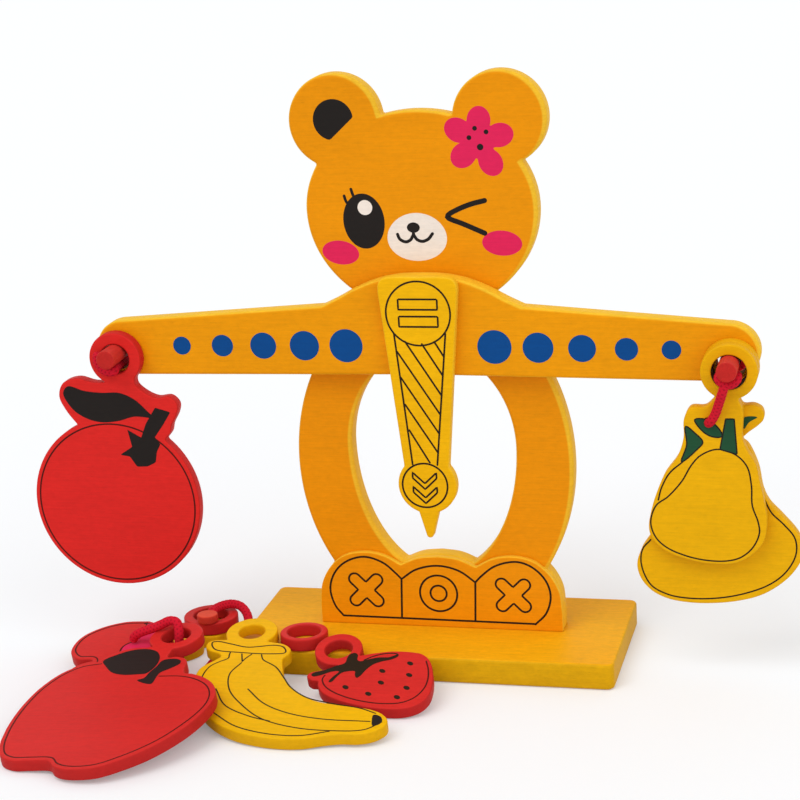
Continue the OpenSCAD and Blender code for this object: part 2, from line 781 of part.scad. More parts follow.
banana_outline = closed_curve(sized(banana_shares, banana_size, banana_size));
banana_reach = -lowest(banana_outline, 0, 1);
banana_tilt = lean(banana_reach, banana_over);
strawberry_outline = closed_curve(sized(strawberry_shares, strawberry_size, strawberry_size));
strawberry_reach = -lowest(strawberry_outline, 0, 1);
strawberry_tilt = lean(strawberry_reach, strawberry_over);
apple_outline = closed_curve(sized(apple_shares, apple_size, apple_size));
apple_z = -lowest(apple_outline, sin(apple_roll), cos(apple_roll) * sin(apple_tilt));

module banana() {
    color("#edb313")
        from_corner(banana_in, banana_over, banana_reach * sin(banana_tilt))
            rotate([banana_tilt, 0, 0])
                ringed_board(banana_ring_r, banana_hole_r)
                    polygon(banana_outline);
}

module strawberry() {
    color("#cd3526")
        from_corner(strawberry_in, strawberry_over, strawberry_reach * sin(strawberry_tilt))
            rotate([strawberry_tilt, 0, 0])
                ringed_board(strawberry_ring_r, strawberry_hole_r)
                    polygon(strawberry_outline);
}

// The sloping plane that the apple lies on, about the middle of its ring
module apple_plane() {
    from_corner(apple_in, apple_over, apple_z)
        rotate([apple_tilt, -apple_roll, 0])
            children();
}

module apple() {
    color("#d22f2b")
        apple_plane()
            ringed_board(apple_ring_r, apple_hole_r)
                polygon(apple_outline);
}

module peach() {
    color("#e0284f")
        apple_plane()
            translate([peach_x, peach_y, -fruit_t - board_gap])
                rotate([0, 0, peach_turn])
                    difference() {
                        ringed_board(peach_ring_r, peach_hole_r)
                            polygon(both_halves(open_curve(sized(peach_half_shares, peach_size, peach_size))));
                        translate([peach_lacing_shares[0] * peach_size, peach_lacing_shares[1] * peach_size, -overrun])
                            cylinder(r = lacing_r, h = fruit_t + 2 * overrun);
                    }
}

module small_banana() {
    color("#edb313")
        from_corner(small_banana_in, small_banana_over)
            rotate([0, 0, small_banana_turn])
                mirror([1, 0, 0])
                    ringed_board(small_banana_ring_r, small_banana_hole_r)
                        polygon(closed_curve(sized(banana_shares, small_banana_size, small_banana_size)));
}

module base_ring() {
    color("#c72323")
        from_corner(base_ring_in, base_ring_over, base_t + seat_gap)
            ringed_board(base_ring_r, base_ring_hole_r);
}

far_ring_z = fruit_t + board_gap;

module far_ring() {
    color("#c72323")
        from_corner(small_banana_in, small_banana_over, far_ring_z)
            ringed_board(far_ring_r, far_ring_hole_r);
}

module cord_button() {
    color("#e3b05a")
        from_corner(button_in, button_over, far_ring_z + fruit_t + board_gap)
            cylinder(r = button_r, h = button_t);
}

base();
base_screws();
bear_panel();
foot_plate();
pivot_screw();
pivot_washers();
beam();
pointer();
left_stick();
right_stick();
left_cord();
right_cord();
round_fruit();
front_pear();
back_pear();
apple();
peach();
banana();
small_banana();
strawberry();
base_ring();
far_ring();
cord_button();
pile_cord();
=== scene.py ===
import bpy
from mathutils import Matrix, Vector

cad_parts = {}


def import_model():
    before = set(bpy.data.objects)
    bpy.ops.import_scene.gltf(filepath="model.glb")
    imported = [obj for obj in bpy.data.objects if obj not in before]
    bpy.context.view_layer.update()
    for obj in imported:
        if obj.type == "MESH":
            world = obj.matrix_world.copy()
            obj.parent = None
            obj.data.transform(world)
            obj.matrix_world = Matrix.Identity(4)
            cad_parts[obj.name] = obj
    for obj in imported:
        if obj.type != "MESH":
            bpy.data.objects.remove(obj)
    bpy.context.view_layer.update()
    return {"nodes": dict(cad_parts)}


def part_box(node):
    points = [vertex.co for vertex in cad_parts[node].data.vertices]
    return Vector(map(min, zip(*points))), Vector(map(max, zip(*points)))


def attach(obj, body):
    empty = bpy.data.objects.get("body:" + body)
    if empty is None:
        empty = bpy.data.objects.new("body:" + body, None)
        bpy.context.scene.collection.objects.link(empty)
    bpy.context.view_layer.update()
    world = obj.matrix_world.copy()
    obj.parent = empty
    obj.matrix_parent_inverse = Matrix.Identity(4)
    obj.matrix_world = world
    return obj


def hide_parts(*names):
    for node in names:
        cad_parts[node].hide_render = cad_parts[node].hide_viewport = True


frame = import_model()

# %% The tools that the lesson needs
import math

import bpy
import numpy as np
from mathutils import Matrix
from mathutils.geometry import delaunay_2d_cdt, tessellate_polygon

MM = 0.001

# %% [markdown]
# ## The camera
#
# The place and the turn of the camera come from the photograph: straight board edges, round holes and discs
# gave its three angles, its distance and its lens. The picture is square, so the lens goes with its width.
# %% Set the camera
camera_place = (213.533, -861.854, 374.650)
camera_yaw, camera_pitch, camera_roll = 14.769, 16.163, -3.328
camera_lens, camera_sensor, camera_near = 95.64, 36, 0.05


def camera_axes(yaw, pitch, roll):
    """Forward from yaw and pitch, right level with the floor, and down across both.

    Right and down are then turned about forward by roll.
    """
    y, p, r = np.radians([yaw, pitch, roll])
    forward = np.array([-math.sin(y) * math.cos(p), math.cos(y) * math.cos(p), -math.sin(p)])
    right = np.array([math.cos(y), math.sin(y), 0])
    down = np.cross(forward, right)
    return forward, right * math.cos(r) - down * math.sin(r), right * math.sin(r) + down * math.cos(r)


forward, right, down = camera_axes(camera_yaw, camera_pitch, camera_roll)
camera = bpy.data.objects.new("camera", bpy.data.cameras.new("camera"))
bpy.context.collection.objects.link(camera)
camera.matrix_world = Matrix.Translation([c * MM for c in camera_place]) @ Matrix(
    np.stack([right, -down, -forward], 1).tolist()
).to_4x4()
camera.data.sensor_width = camera_sensor
camera.data.lens = camera_lens
camera.data.clip_start = camera_near
bpy.context.scene.camera = camera
bpy.context.scene.view_settings.view_transform = "Standard"
print("camera at", [round(v, 3) for v in camera.location])

# %% [markdown]
# ## Outlines
#
# Every board has an outline that was drawn by hand and followed with a saw. Each is kept as a few points,
# and a smooth curve runs through them. Some boards are two shapes in one, such as a fruit and its ring, so
# two helpers join outlines and cut one from another. Working on the lines is simpler and cleaner than joining
# finished solids, because the rims can then be rounded all the way round.
# %% Smooth curves and even spacing
line_gap, join_gap, least_cosine = 0.8, 0.4, 0.6


def smooth(points, closed=True, steps=12):
    """A cubic on each span, with slopes from its neighbours, weighed by the square roots of the spacings."""
    p = np.asarray(points, float)
    if closed:
        line = p[np.arange(-1, len(p) + 2) % len(p)]
    else:
        line = np.vstack([2 * p[0] - p[1], p, 2 * p[-1] - p[-2]])
    a, b, c, d = line[:-3], line[1:-2], line[2:-1], line[3:]
    spans = [np.linalg.norm(v - u, axis=1, keepdims=True) for u, v in ((a, b), (b, c), (c, d))]
    ab, bc, cd = (np.sqrt(np.maximum(span, 1e-3)) for span in spans)
    run = c - b
    m1 = run + bc * ((b - a) / ab - (c - a) / (ab + bc))
    m2 = run + bc * ((d - c) / cd - (d - b) / (bc + cd))
    t = np.linspace(0, 1, steps, endpoint=False)[None, :, None]
    b, run, m1, m2 = (v[:, None] for v in (b, run, m1, m2))
    curve = (b + t * m1 + t**2 * (3 * run - 2 * m1 - m2) + t**3 * (m1 + m2 - 2 * run)).reshape(-1, p.shape[1])
    return curve if closed else np.vstack([curve, p[-1]])


def evenly(points, gap=line_gap, closed=True):
    """The same line, with its points an equal way apart along it."""
    p = np.asarray(points, float)
    line = np.vstack([p, p[:1]]) if closed else p
    way = np.r_[0, np.cumsum(np.linalg.norm(np.diff(line, axis=0), axis=1))]
    at = np.linspace(0, way[-1], max(4, round(way[-1] / gap)) + 1)
    out = np.stack([np.interp(at, way, line[:, k]) for k in range(line.shape[1])], 1)
    return out[:-1] if closed else out


def oval(x, y, half_w, up, down=None, count=180):
    """Cosine across and sine along, with its own height above and below its middle."""
    a = np.linspace(0, 2 * np.pi, count, endpoint=False)
    rise = np.where(np.sin(a) > 0, up, up if down is None else down)
    return np.stack([x + half_w * np.cos(a), y + rise * np.sin(a)], 1)


def mirrored(half):
    """A closed outline from its right or left half."""
    half = np.asarray(half, float)
    return np.vstack([half, half[::-1] * [-1, 1]])


print("a circle of radius 10 is", round(len(evenly(oval(0, 0, 10, 10))) * line_gap, 1), "round")

# %% Join and cut outlines


def inside(points, outline):
    """Odd when a level line from the point crosses the outline an odd number of times."""
    x, y = points[:, :1], points[:, 1:2]
    a, b = outline, np.roll(outline, -1, 0)
    spans = (a[:, 1] > y) != (b[:, 1] > y)
    rise = np.where(a[:, 1] == b[:, 1], 1, b[:, 1] - a[:, 1])
    return (spans & (x < a[:, 0] + (y - a[:, 1]) * (b[:, 0] - a[:, 0]) / rise)).sum(1) % 2 == 1


def kept_run(points, keep):
    """The longest unbroken run of kept points on a closed line."""
    if keep.all():
        return points
    starts = np.flatnonzero(keep & ~np.roll(keep, 1))
    ends = np.flatnonzero(keep & ~np.roll(keep, -1))
    lengths = [(ends[ends >= s][0] if (ends >= s).any() else ends[0] + len(keep)) - s + 1 for s in starts]
    best = int(np.argmax(lengths))
    return np.roll(points, -starts[best], 0)[: lengths[best]]


def joined(a, b):
    """Both outlines in one: each line is followed where it lies outside the other."""
    a, b = evenly(a, join_gap), evenly(b, join_gap)
    return evenly(np.vstack([kept_run(a, ~inside(a, b)), kept_run(b, ~inside(b, a))]))


def cut(a, b):
    """The first outline without the second, whose line is followed backwards inside the first."""
    a, b = evenly(a, join_gap), evenly(b, join_gap)
    return evenly(np.vstack([kept_run(a, ~inside(a, b)), kept_run(b, inside(b, a))[::-1]]))


def inset(loop, depth):
    """A closed line, drawn against the clock, moved inwards along the mean of its edge normals.

    The way along it is the depth over the cosine of half the turn, which isn't let below least_cosine.
    """
    edge = np.roll(loop, -1, 0) - loop
    edge /= np.maximum(np.linalg.norm(edge, axis=1, keepdims=True), 1e-9)
    normal = edge[:, ::-1] * [-1, 1]
    mean = normal + np.roll(normal, 1, 0)
    mean /= np.maximum(np.linalg.norm(mean, axis=1, keepdims=True), 1e-9)
    reach = 1 / np.maximum((mean * normal).sum(1, keepdims=True), least_cosine)
    return loop + depth * reach * mean


two_discs = joined(oval(0, 0, 10, 10), oval(12, 0, 8, 8))
print("two joined discs reach from", two_discs[:, 0].min().round(2), "to", two_discs[:, 0].max().round(2))

# %% [markdown]
# ## Boards
#
# A sawn board is its outline with a thickness, and sandpaper has rounded both rims. It could be an extruded
# curve with a bevel, but a bevel fails in the narrow notches beside a ring. Here the rim is a profile carried
# along the outline: a quarter circle, the straight side and a quarter circle again, with the two flat faces
# filled in afterwards. An attribute named edge says how far round the rim a point lies, so that the rim can
# get its own colour there: thinner paint, with painted light and shade. It rises already on a narrow lip of
# the flat face, wider on the side that faces the light, as a painted highlight on the rims there.
# %% Build a board's mesh
lip_start, lit_rim_gain, bore_count = 0.05, 0.8, 72


def rim_rows(thickness, radius, steps=5):
    """Inset, height and turn of each row: a quarter circle, the side and a quarter circle back."""
    if not radius:
        return np.zeros(2), np.array([0, thickness]), np.ones(2)
    a = np.linspace(0, np.pi / 2, steps)
    inset_by, rise, turn = radius * (1 - np.sin(a)), radius * (1 - np.cos(a)), np.sin(a)
    return np.r_[inset_by, inset_by[::-1]], np.r_[rise, thickness - rise[::-1]], np.r_[turn, turn[::-1]]


def wall(rows, start, outwards):
    """Faces of a grid of closed rows, turned towards or away from the middle."""
    r, n = rows.shape[:2]
    index = start + np.arange(r * n).reshape(r, n)
    nxt = np.roll(index, -1, 1)
    quads = np.stack([index[:-1], nxt[:-1], nxt[1:], index[1:]], -1).reshape(-1, 4)
    return quads if outwards else quads[:, ::-1]


def filled(loops, starts, upwards):
    """Triangles that fill the first loop and leave out the others.

    They join near points, so that none is flat. That way adds a point where a line crosses itself, as the lip
    of the bear's feet does in their corners, so such loops are filled in a plainer way.
    """
    flat = np.vstack(loops)
    ids = np.concatenate([s + np.arange(len(l)) for s, l in zip(starts, loops)])
    first = np.cumsum([0] + [len(l) for l in loops[:-1]])
    rings = [f + np.arange(len(l)) for f, l in zip(first, loops)]
    edges = np.vstack([np.stack([ring, np.roll(ring, -1)], 1) for ring in rings])
    _, _, tris, origins, _, _ = delaunay_2d_cdt(flat.tolist(), edges.tolist(), [], 1, 0)
    if all(origins):
        tris = np.array([o[0] for o in origins])[np.array(tris)]
        for hole in loops[1:]:
            tris = tris[~inside(flat[tris].mean(1), hole)]
    else:
        tris = np.array(tessellate_polygon([[(x, y, 0) for x, y in l] for l in loops]))
    a, b, c = (flat[tris[:, k]] for k in range(3))
    area = (b[:, 0] - a[:, 0]) * (c[:, 1] - a[:, 1]) - (b[:, 1] - a[:, 1]) * (c[:, 0] - a[:, 0])
    return ids[tris if (area.sum() > 0) == upwards else tris[:, ::-1]]


def raised(line, height):
    """A flat line at one height."""
    return np.c_[line, np.full(len(line), height)]


def board(outline, thickness, radius=0.7, holes=(), bores=(), base=0.0, lip=0.1, lit_side=(0, 0),
          bore_rim=0.7):
    """A board from base to base + thickness. Holes are outlines, bores are (x, y, radius).

    A flat lip inside the rim is wider where the outward normal leans to the lit side, and the edge attribute
    rises more there: a painted highlight on the rims that face the light. Bores were drilled last, so their
    rims are sharper and get no such highlight. Their edge attribute counts double.
    """
    loops = [evenly(outline)] + [evenly(h) for h in holes]
    loops += [oval(x, y, r, r, count=bore_count) for x, y, r in bores]
    points, faces, edge, starts, start = [], [], [], [], 0
    for k, loop in enumerate(loops):
        outwards, bored = 1 if k == 0 else -1, k > len(holes)
        rim = min(radius, bore_rim) if bored else radius
        into, up, turn = rim_rows(thickness, rim)
        # How far the rim leans to the lit side: there the pale rim colour widens, a painted highlight.
        wear_and_light = np.clip((inset(loop, -outwards) - loop) @ lit_side, 0, 1)[:, None] * (not bored)
        rows = [raised(inset(loop, outwards * d), base + h) for d, h in zip(into, up)]
        share = [lit_rim_gain * wear_and_light[:, 0] + (1 - lit_rim_gain * wear_and_light[:, 0]) * t for t in turn]
        if radius:
            inner = inset(loop, outwards * (rim + lip_start + lip * wear_and_light))
            rows = [raised(inner, base), *rows, raised(inner, base + thickness)]
            share = [0 * share[0], *share, 0 * share[0]]
        rows = np.stack(rows)
        faces.append(wall(rows, start, k == 0))
        points.append(rows.reshape(-1, 3))
        edge.append(np.concatenate(share) * (2 if bored else 1))
        starts.append(start)
        start += rows.shape[0] * rows.shape[1]
    last_row = rows.shape[0] - 1
    sides = np.vstack(faces)
    caps = []
    for last in (False, True):
        row = [last_row * len(l) if last else 0 for l in loops]
        ring = [p[r : r + len(l), :2] for p, r, l in zip(points, row, loops)]
        caps.append(filled(ring, [s + r for s, r in zip(starts, row)], last))
    return np.vstack(points), [sides, np.vstack(caps)], np.concatenate(edge)


test_points, test_faces, _ = board(two_discs, 5.5)
print("test board:", len(test_points), "points,", sum(len(f) for f in test_faces), "faces")

# %% Put a mesh in the scene


def piece(name, body, points, faces, edge, material, stands_for=(), flat_last=True):
    """An object from points in metres and groups of faces. The last group, the flat faces, isn't smoothed."""
    mesh = bpy.data.meshes.new(name)
    mesh.from_pydata(points.tolist(), [], [f for group in faces for f in group.tolist()])
    groups = [np.full(len(g), not (flat_last and k == len(faces) - 1)) for k, g in enumerate(faces)]
    mesh.polygons.foreach_set("use_smooth", np.concatenate(groups))
    layer = mesh.attributes.new("edge", "FLOAT", "POINT")
    layer.data.foreach_set("value", np.asarray(edge, np.float32))
    mesh.materials.append(material)
    mesh.update()
    obj = bpy.data.objects.new(name, mesh)
    bpy.context.collection.objects.link(obj)
    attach(obj, body)
    if stands_for:
        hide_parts(*stands_for)
    print(name, "has", len(mesh.polygons), "faces")
    return obj


def turned(tilt=0.0, roll=0.0, turn=0.0):
    """Turn about the board's own normal, then tilt about X, then roll about Y, as one matrix."""
    steps = ((roll, "Y"), (tilt, "X"), (turn, "Z"))
    rolled, tilted, spun = (np.array(Matrix.Rotation(math.radians(angle), 3, axis)) for angle, axis in steps)
    return rolled @ tilted @ spun


class Place:
    """Where a board lies: the middle of its back or under face, and how it is turned."""

    def __init__(self, origin, turn):
        self.origin, self.turn = np.asarray(origin, float), np.asarray(turn)

    def world(self, points):
        """Points of the board in metres."""
        return (self.origin + np.asarray(points) @ self.turn.T) * MM

    def grain(self):
        """The turn back to the board's own directions, for its paint."""
        return tuple(Matrix(self.turn.T.tolist()).to_euler("XYZ"))


def depth_of(node):
    """Front and back of an upright node, in millimetres."""
    low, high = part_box(node)
    return low[1] / MM, high[1] / MM


def upright(node):
    """A board that stands upright, its face towards the viewer."""
    return Place((0, depth_of(node)[1], 0), turned(tilt=90))


print("the bear board lies between", [round(v, 2) for v in depth_of("bear_panel")])

# %% [markdown]
# ## Paint, ink, cord and steel
#
# The boards are painted with a thin satin paint, so the grain of the wood still shows as fine level streaks.
# The rims get a colour of their own: the paint is thinner on the sanded rounding, and the rim colour also
# holds painted light and shade, a painted highlight where a rim faces the light and painted shade on the
# sides that face away from it. A photograph of wood would show its own seams and its own light. Here
# stretched noises make the streaks, the mottle between them and the fine dark pores, and a broad one makes
# the slow change of depth across a board. The shader sums are written as Python sums with a small class,
# which is shorter to read than a long list of nodes and links.
# %% Sums of shader values


def linear(colour):
    """A screen colour from 0 to 255 as light: the power curve of screens undone."""
    c = np.asarray(colour, float) / 255
    return tuple(np.where(c <= 0.04045, c / 12.92, ((c + 0.055) / 1.055) ** 2.4).tolist()) + (1.0,)


class Value:
    """A socket in sums: each operation adds its Math node."""

    def __init__(self, nodes, socket):
        self.nodes, self.socket = nodes, socket

    def maths(self, operation, a, b, clamp=False):
        return self.nodes.add("ShaderNodeMath", {"operation": operation, "use_clamp": clamp}, {0: a, 1: b})

    def __add__(self, other):
        return self.maths("ADD", self, other)

    def __mul__(self, other):
        return self.maths("MULTIPLY", self, other)

    def __sub__(self, other):
        return self.maths("SUBTRACT", self, other)

    def __rsub__(self, other):
        return self.maths("SUBTRACT", other, self)

    def between(self, low, high):
        """0 below low, 1 above high, straight between them."""
        return self.maths("MULTIPLY", self - low, 1 / (high - low), clamp=True)

    __radd__, __rmul__ = __add__, __mul__


class Nodes:
    """A node tree whose nodes are added one by one."""

    def __init__(self, tree):
        self.tree = tree

    def feed(self, socket, value):
        if isinstance(value, Value):
            self.tree.links.new(value.socket, socket)
        else:
            socket.default_value = value

    def add(self, kind, settings=None, inputs=None, out=0):
        """A node of that kind, with its settings first and then the values or links of its sockets."""
        node = self.tree.nodes.new(kind)
        for name, value in (settings or {}).items():
            setattr(node, name, value)
        for key, value in (inputs or {}).items():
            self.feed(node.inputs[key], value)
        return Value(self, node.outputs[out])

    def mix(self, amount, a, b):
        return self.add("ShaderNodeMix", {"data_type": "RGBA"}, {0: amount, 6: a, 7: b}, out=2)

    def stretched(self, coordinates, scale, detail=3.0, roughness=0.6):
        """Noise on coordinates that are stretched by its own scale in each direction."""
        at = self.add("ShaderNodeMapping", inputs={"Vector": coordinates, "Scale": scale})
        noise = {"Vector": at, "Scale": 1.0, "Detail": detail, "Roughness": roughness}
        return self.add("ShaderNodeTexNoise", inputs=noise)

    def scaled(self, colour, factor):
        """A colour made lighter or darker by a value."""
        return self.add("ShaderNodeVectorMath", {"operation": "SCALE"}, {0: colour[:3], "Scale": factor})


class Finish(Nodes):
    """A material with a Principled shader."""

    def __init__(self, name):
        self.material = bpy.data.materials.new(name)
        self.material.use_nodes = True
        super().__init__(self.material.node_tree)
        self.shader = self.tree.nodes["Principled BSDF"]

    def set(self, **values):
        for name, value in values.items():
            self.feed(self.shader.inputs[name.replace("_", " ")], value)
        return self.material


# %% Painted wood
streak_scale, mottle_scale = (70, 1300, 1300), (300, 520, 520)
cloud_scale, pore_scale = (14, 34, 34), (420, 3400, 3400)
streak_weight, mottle_weight, cloud_weight, pore_weight = 0.26, 0.22, 0.2, 0.16
pore_start, pore_full, rim_start, rim_full, bore_start, bore_full = 0.63, 0.75, 0.45, 0.78, 1.3, 1.7


def painted(name, colour, rim=None, bore=None, grain=(0, 0, 0), streak=1.0, rough=0.5):
    """The colour times one plus small sums of streaks, mottle and clouds less dark pores.

    The rim's colour comes in where the edge attribute is near 1, the bore's where it is near 2. The rim's
    colour is thinner paint with painted light and shade; a dark bore colour is painted shade in a hole.
    """
    finish = Finish(name)
    place = finish.add("ShaderNodeTexCoord", out="Object")
    along = finish.add("ShaderNodeMapping", inputs={"Vector": place, "Rotation": grain})
    streaks = finish.stretched(along, streak_scale, detail=5) - 0.5
    mottle = finish.stretched(along, mottle_scale, detail=4) - 0.5
    clouds = finish.stretched(along, cloud_scale, detail=2) - 0.5
    pores = finish.stretched(along, pore_scale, detail=2).between(pore_start, pore_full)
    uneven = streaks * streak_weight + mottle * mottle_weight + clouds * cloud_weight - pores * pore_weight
    level = 1 + uneven * streak
    tone = finish.scaled(linear(colour), level)
    edge = finish.add("ShaderNodeAttribute", {"attribute_name": "edge"}, out="Fac")
    if rim is not None:
        # The rim colour: thinner paint, with a painted highlight on paler rims and painted shade on darker
        # ones.
        wear_and_light = edge.between(rim_start, rim_full) * (0.95 + streaks * 0.5)
        tone = finish.mix(wear_and_light, tone, finish.scaled(linear(rim), level))
    if bore is not None:
        # The bore colour: bare drilled wood in the beam and base, painted shade deep in the pears' dark
        # holes.
        tone = finish.mix(edge.between(bore_start, bore_full), tone, finish.scaled(linear(bore), level))
    relief = {"Height": streaks + mottle - pores, "Strength": 0.15, "Distance": 0.0001}
    bump = finish.add("ShaderNodeBump", inputs=relief)
    finish.set(Base_Color=tone, Roughness=rough + streaks * 0.2, Normal=bump)
    return finish.set(Coat_Weight=0.03, Coat_Roughness=0.3, Specular_IOR_Level=0.05)


def ink(name, colour, grain=(0, 0, 0)):
    """Printed ink: the streaks of the wood under it show faintly."""
    return painted(name, colour, grain=grain, streak=0.8, rough=0.55)


# Each paint has its own colour and the colour of its rims, from 0 to 255. Paler rims are thinner paint
# with a painted highlight; darker rims, as on the base and the fruit, are painted shade on sides turned
# from the light.
paint_colours = {
    "orange": ((235, 147, 8), (240, 188, 46)),
    "base": ((236, 169, 16), (213, 159, 10)),
    "beam": ((236, 153, 8), (240, 190, 46)),
    "yellow": ((241, 181, 8), (240, 192, 40)),
    "fruit_yellow": ((233, 173, 8), (227, 167, 14)),
    "red": ((218, 41, 37), (196, 38, 35)),
    "pile_red": ((207, 43, 40), (189, 38, 36)),
    "pile_yellow": ((234, 179, 6), (225, 168, 10)),
    "stick": ((190, 40, 36), (200, 52, 44)),
    "button": ((218, 74, 48), (196, 54, 42)),
}
# The dark bore colour is painted shade deep in the pears' holes; bare wood is the drilled wood of the beam
# and the base.
bore_colours = {"bare_wood": (190, 158, 112), "dark": (46, 40, 26)}
ink_colours = {
    "dark": (42, 32, 22),
    "black": (36, 32, 30),
    "blue": (13, 73, 139),
    "pink": (223, 38, 88),
    "cream": (240, 228, 216),
    "green": (36, 78, 52),
    "brown": (78, 24, 20),
}
print(len(paint_colours), "paints and", len(ink_colours), "inks")

# %% Steel and cord
speckle_scale, fibre_scale = (900, 900, 900), (2600, 2600, 2600)
zinc_dark, zinc_light = (0.52, 0.53, 0.55, 1), (0.66, 0.67, 0.69, 1)
cord_red = (206, 24, 46)


def steel():
    """Zinc-plated steel: fine noise in its roughness."""
    finish = Finish("plated_steel")
    place = finish.add("ShaderNodeTexCoord", out="Object")
    speckle = finish.stretched(place, speckle_scale)
    tone = finish.mix(speckle, zinc_dark, zinc_light)
    return finish.set(Base_Color=tone, Metallic=1.0, Roughness=0.28 + speckle * 0.2)


def shade(colour, factor):
    """The same colour lighter or darker."""
    return tuple(min(1.0, c * factor) for c in colour[:3]) + (1.0,)


def cord_yarn(name, colour):
    """Braided cord: painted shade between its strands, which the attribute edge gives, with fine fibre noise.
    """
    finish = Finish(name)
    coat = linear(colour)
    place = finish.add("ShaderNodeTexCoord", out="Object")
    fibre = finish.stretched(place, fibre_scale, detail=4)
    crown = finish.add("ShaderNodeAttribute", {"attribute_name": "edge"}, out="Fac")
    # Painted shade: the colour darkens in the valleys between the strands.
    tone = finish.mix(crown.between(0.0, 0.7), shade(coat, 0.4), coat)
    tone = finish.mix(fibre.between(0.4, 0.75) * 0.35, tone, shade(coat, 1.3))
    bump = finish.add("ShaderNodeBump", inputs={"Height": fibre, "Strength": 0.5, "Distance": 0.00015})
    return finish.set(Base_Color=tone, Roughness=0.85 - fibre * 0.1, Normal=bump, Specular_IOR_Level=0.1)


steel_finish = steel()
cord_finish = cord_yarn("red_cord", cord_red)
print("made", steel_finish.name, "and", cord_finish.name)

# %% [markdown]
# ## Prints
#
# Dots, faces and fruit lines are printed on the painted boards. An image would do it, but then the print
# would stop at the picture's own sharpness. Here each mark is a very thin solid that lies on the paint: a
# fill is a board with no rounding, and a line is a flat strip carried along its path.
# %% Lines and fills
ink_below, ink_above, ink_step, ink_steps, strip_gap = 0.12, 0.035, 0.003, 9, 0.7


def strip(path, width, thickness, closed=False, layer=0):
    """A rectangle carried along a path. At open ends its half width falls off as the cosine."""
    p = evenly(path, strip_gap, closed)
    half = np.full(len(p), width / 2)
    if not closed:
        a = np.radians([20, 40, 60, 80])[:, None]
        first, last = p[0] - p[1], p[-1] - p[-2]
        tips = [p[i] + width / 2 * np.sin(a) * d / np.linalg.norm(d) for i, d in ((0, first), (-1, last))]
        p = np.vstack([tips[0][::-1], p, tips[1]])
        half = np.r_[width / 2 * np.cos(a[::-1, 0]), half, width / 2 * np.cos(a[:, 0])]
    ahead = np.roll(p, -1, 0) - np.roll(p, 1, 0) if closed else np.gradient(p, axis=0)
    reach = np.maximum(np.linalg.norm(ahead, axis=1, keepdims=True), 1e-9)
    side = half[:, None] * ahead[:, ::-1] * [-1, 1] / reach
    low, high = thickness - ink_below, thickness + ink_above * (1 + layer)
    corners = [(1, high), (-1, high), (-1, low), (1, low)]
    rows = np.stack([np.c_[p + s * side, np.full(len(p), h)] for s, h in corners], 1)
    n = len(p)
    index = np.arange(n * 4).reshape(n, 4)
    nxt = np.roll(index, -1, 0) if closed else index[1:]
    index = index if closed else index[:-1]
    pairs = [(k, (k + 1) % 4) for k in range(4)]
    faces = np.vstack([np.stack([index[:, k], index[:, m], nxt[:, m], nxt[:, k]], 1) for k, m in pairs])
    if not closed:
        faces = np.vstack([faces, [[3, 2, 1, 0]], (n - 1) * 4 + np.array([[0, 1, 2, 3]])])
    return rows.reshape(-1, 3), faces


def fill(outline, thickness, layer=0):
    """A very thin board on the paint."""
    deep = ink_below + ink_above * (1 + layer)
    points, faces, _ = board(outline, deep, 0, base=thickness - ink_below)
    return points, faces


def printed(name, body, place, marks, material):
    """All marks of one ink on one board, as one piece.

    Each is a hair higher than the last, in a cycle of ink_steps heights, so that near marks don't share a
    face.
    """
    points, groups, start = [], [], 0
    for k, (p, faces) in enumerate(marks):
        points.append(p + [0, 0, ink_step * (k % ink_steps)])
        for group in faces if isinstance(faces, list) else [faces]:
            groups.append(group + start)
        start += len(p)
    everything = np.vstack(points)
    made = piece(name, body, place.world(everything), groups, np.ones(len(everything)), material)
    made.data.polygons.foreach_set("use_smooth", np.zeros(len(made.data.polygons), bool))


def relative(points, x, y):
    """Points measured from another place."""
    return np.asarray(points, float) - [x, y]


def ccw(loop):
    """True if a closed line runs against the clock: the sum of its cross products is positive."""
    nxt = np.roll(loop, -1, 0)
    return (loop[:, 0] * nxt[:, 1] - nxt[:, 0] * loop[:, 1]).sum() > 0


def solid(points, thickness, offset=(0, 0), curved=True, layer=0):
    """A filled mark whose points were measured from offset."""
    loop = relative(points, *offset)
    loop = smooth(loop) if curved else evenly(loop, 0.5)
    return fill(loop if ccw(loop) else loop[::-1], thickness, layer=layer)


def line(points, thickness, offset=(0, 0), width=0.8, closed=False, curved=True, layer=0):
    """A line mark whose points were measured from offset."""
    p = relative(points, *offset)
    return strip(smooth(p, closed) if curved else p, width, thickness, closed, layer)


print("ink stands", ink_above, "mm above the paint")

# %% [markdown]
# ## The stand
#
# The base board, the bear board and the plate on its feet are glued and screwed together, so they move as
# one body. The bear board is a head with two ears, a body oval and feet, and the window between the legs is
# an oval whose foot follows the feet's scallops. Discs could be pushed into each other to make the bear, but
# seams would show where they meet. Joined into one outline, they get one rim that runs all the way round.
# %% Base board
base_low, base_high = (np.array(v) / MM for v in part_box("base"))
base_corner, base_rim, screw_x, screw_y, screw_head = 3.5, 1.3, 33.6, 4.5, 4.06
base_place = Place((*(base_low[:2] + base_high[:2]) / 2, 0), turned())
print_grain = (math.radians(-90), 0, 0)
orange = painted("orange_paint", *paint_colours["orange"], grain=print_grain)
base_paint = painted("base_paint", *paint_colours["base"], bore=bore_colours["bare_wood"], streak=1.5)


def rounded_rectangle(w, d, r):
    """Four quarter circles, joined by straight runs."""
    a = np.linspace(0, np.pi / 2, 12)
    middles = [(w / 2 - r, d / 2 - r), (r - w / 2, d / 2 - r), (r - w / 2, r - d / 2), (w / 2 - r, r - d / 2)]
    return np.vstack([np.stack([x + r * np.cos(a + k * np.pi / 2), y + r * np.sin(a + k * np.pi / 2)], 1)
                      for k, (x, y) in enumerate(middles)])


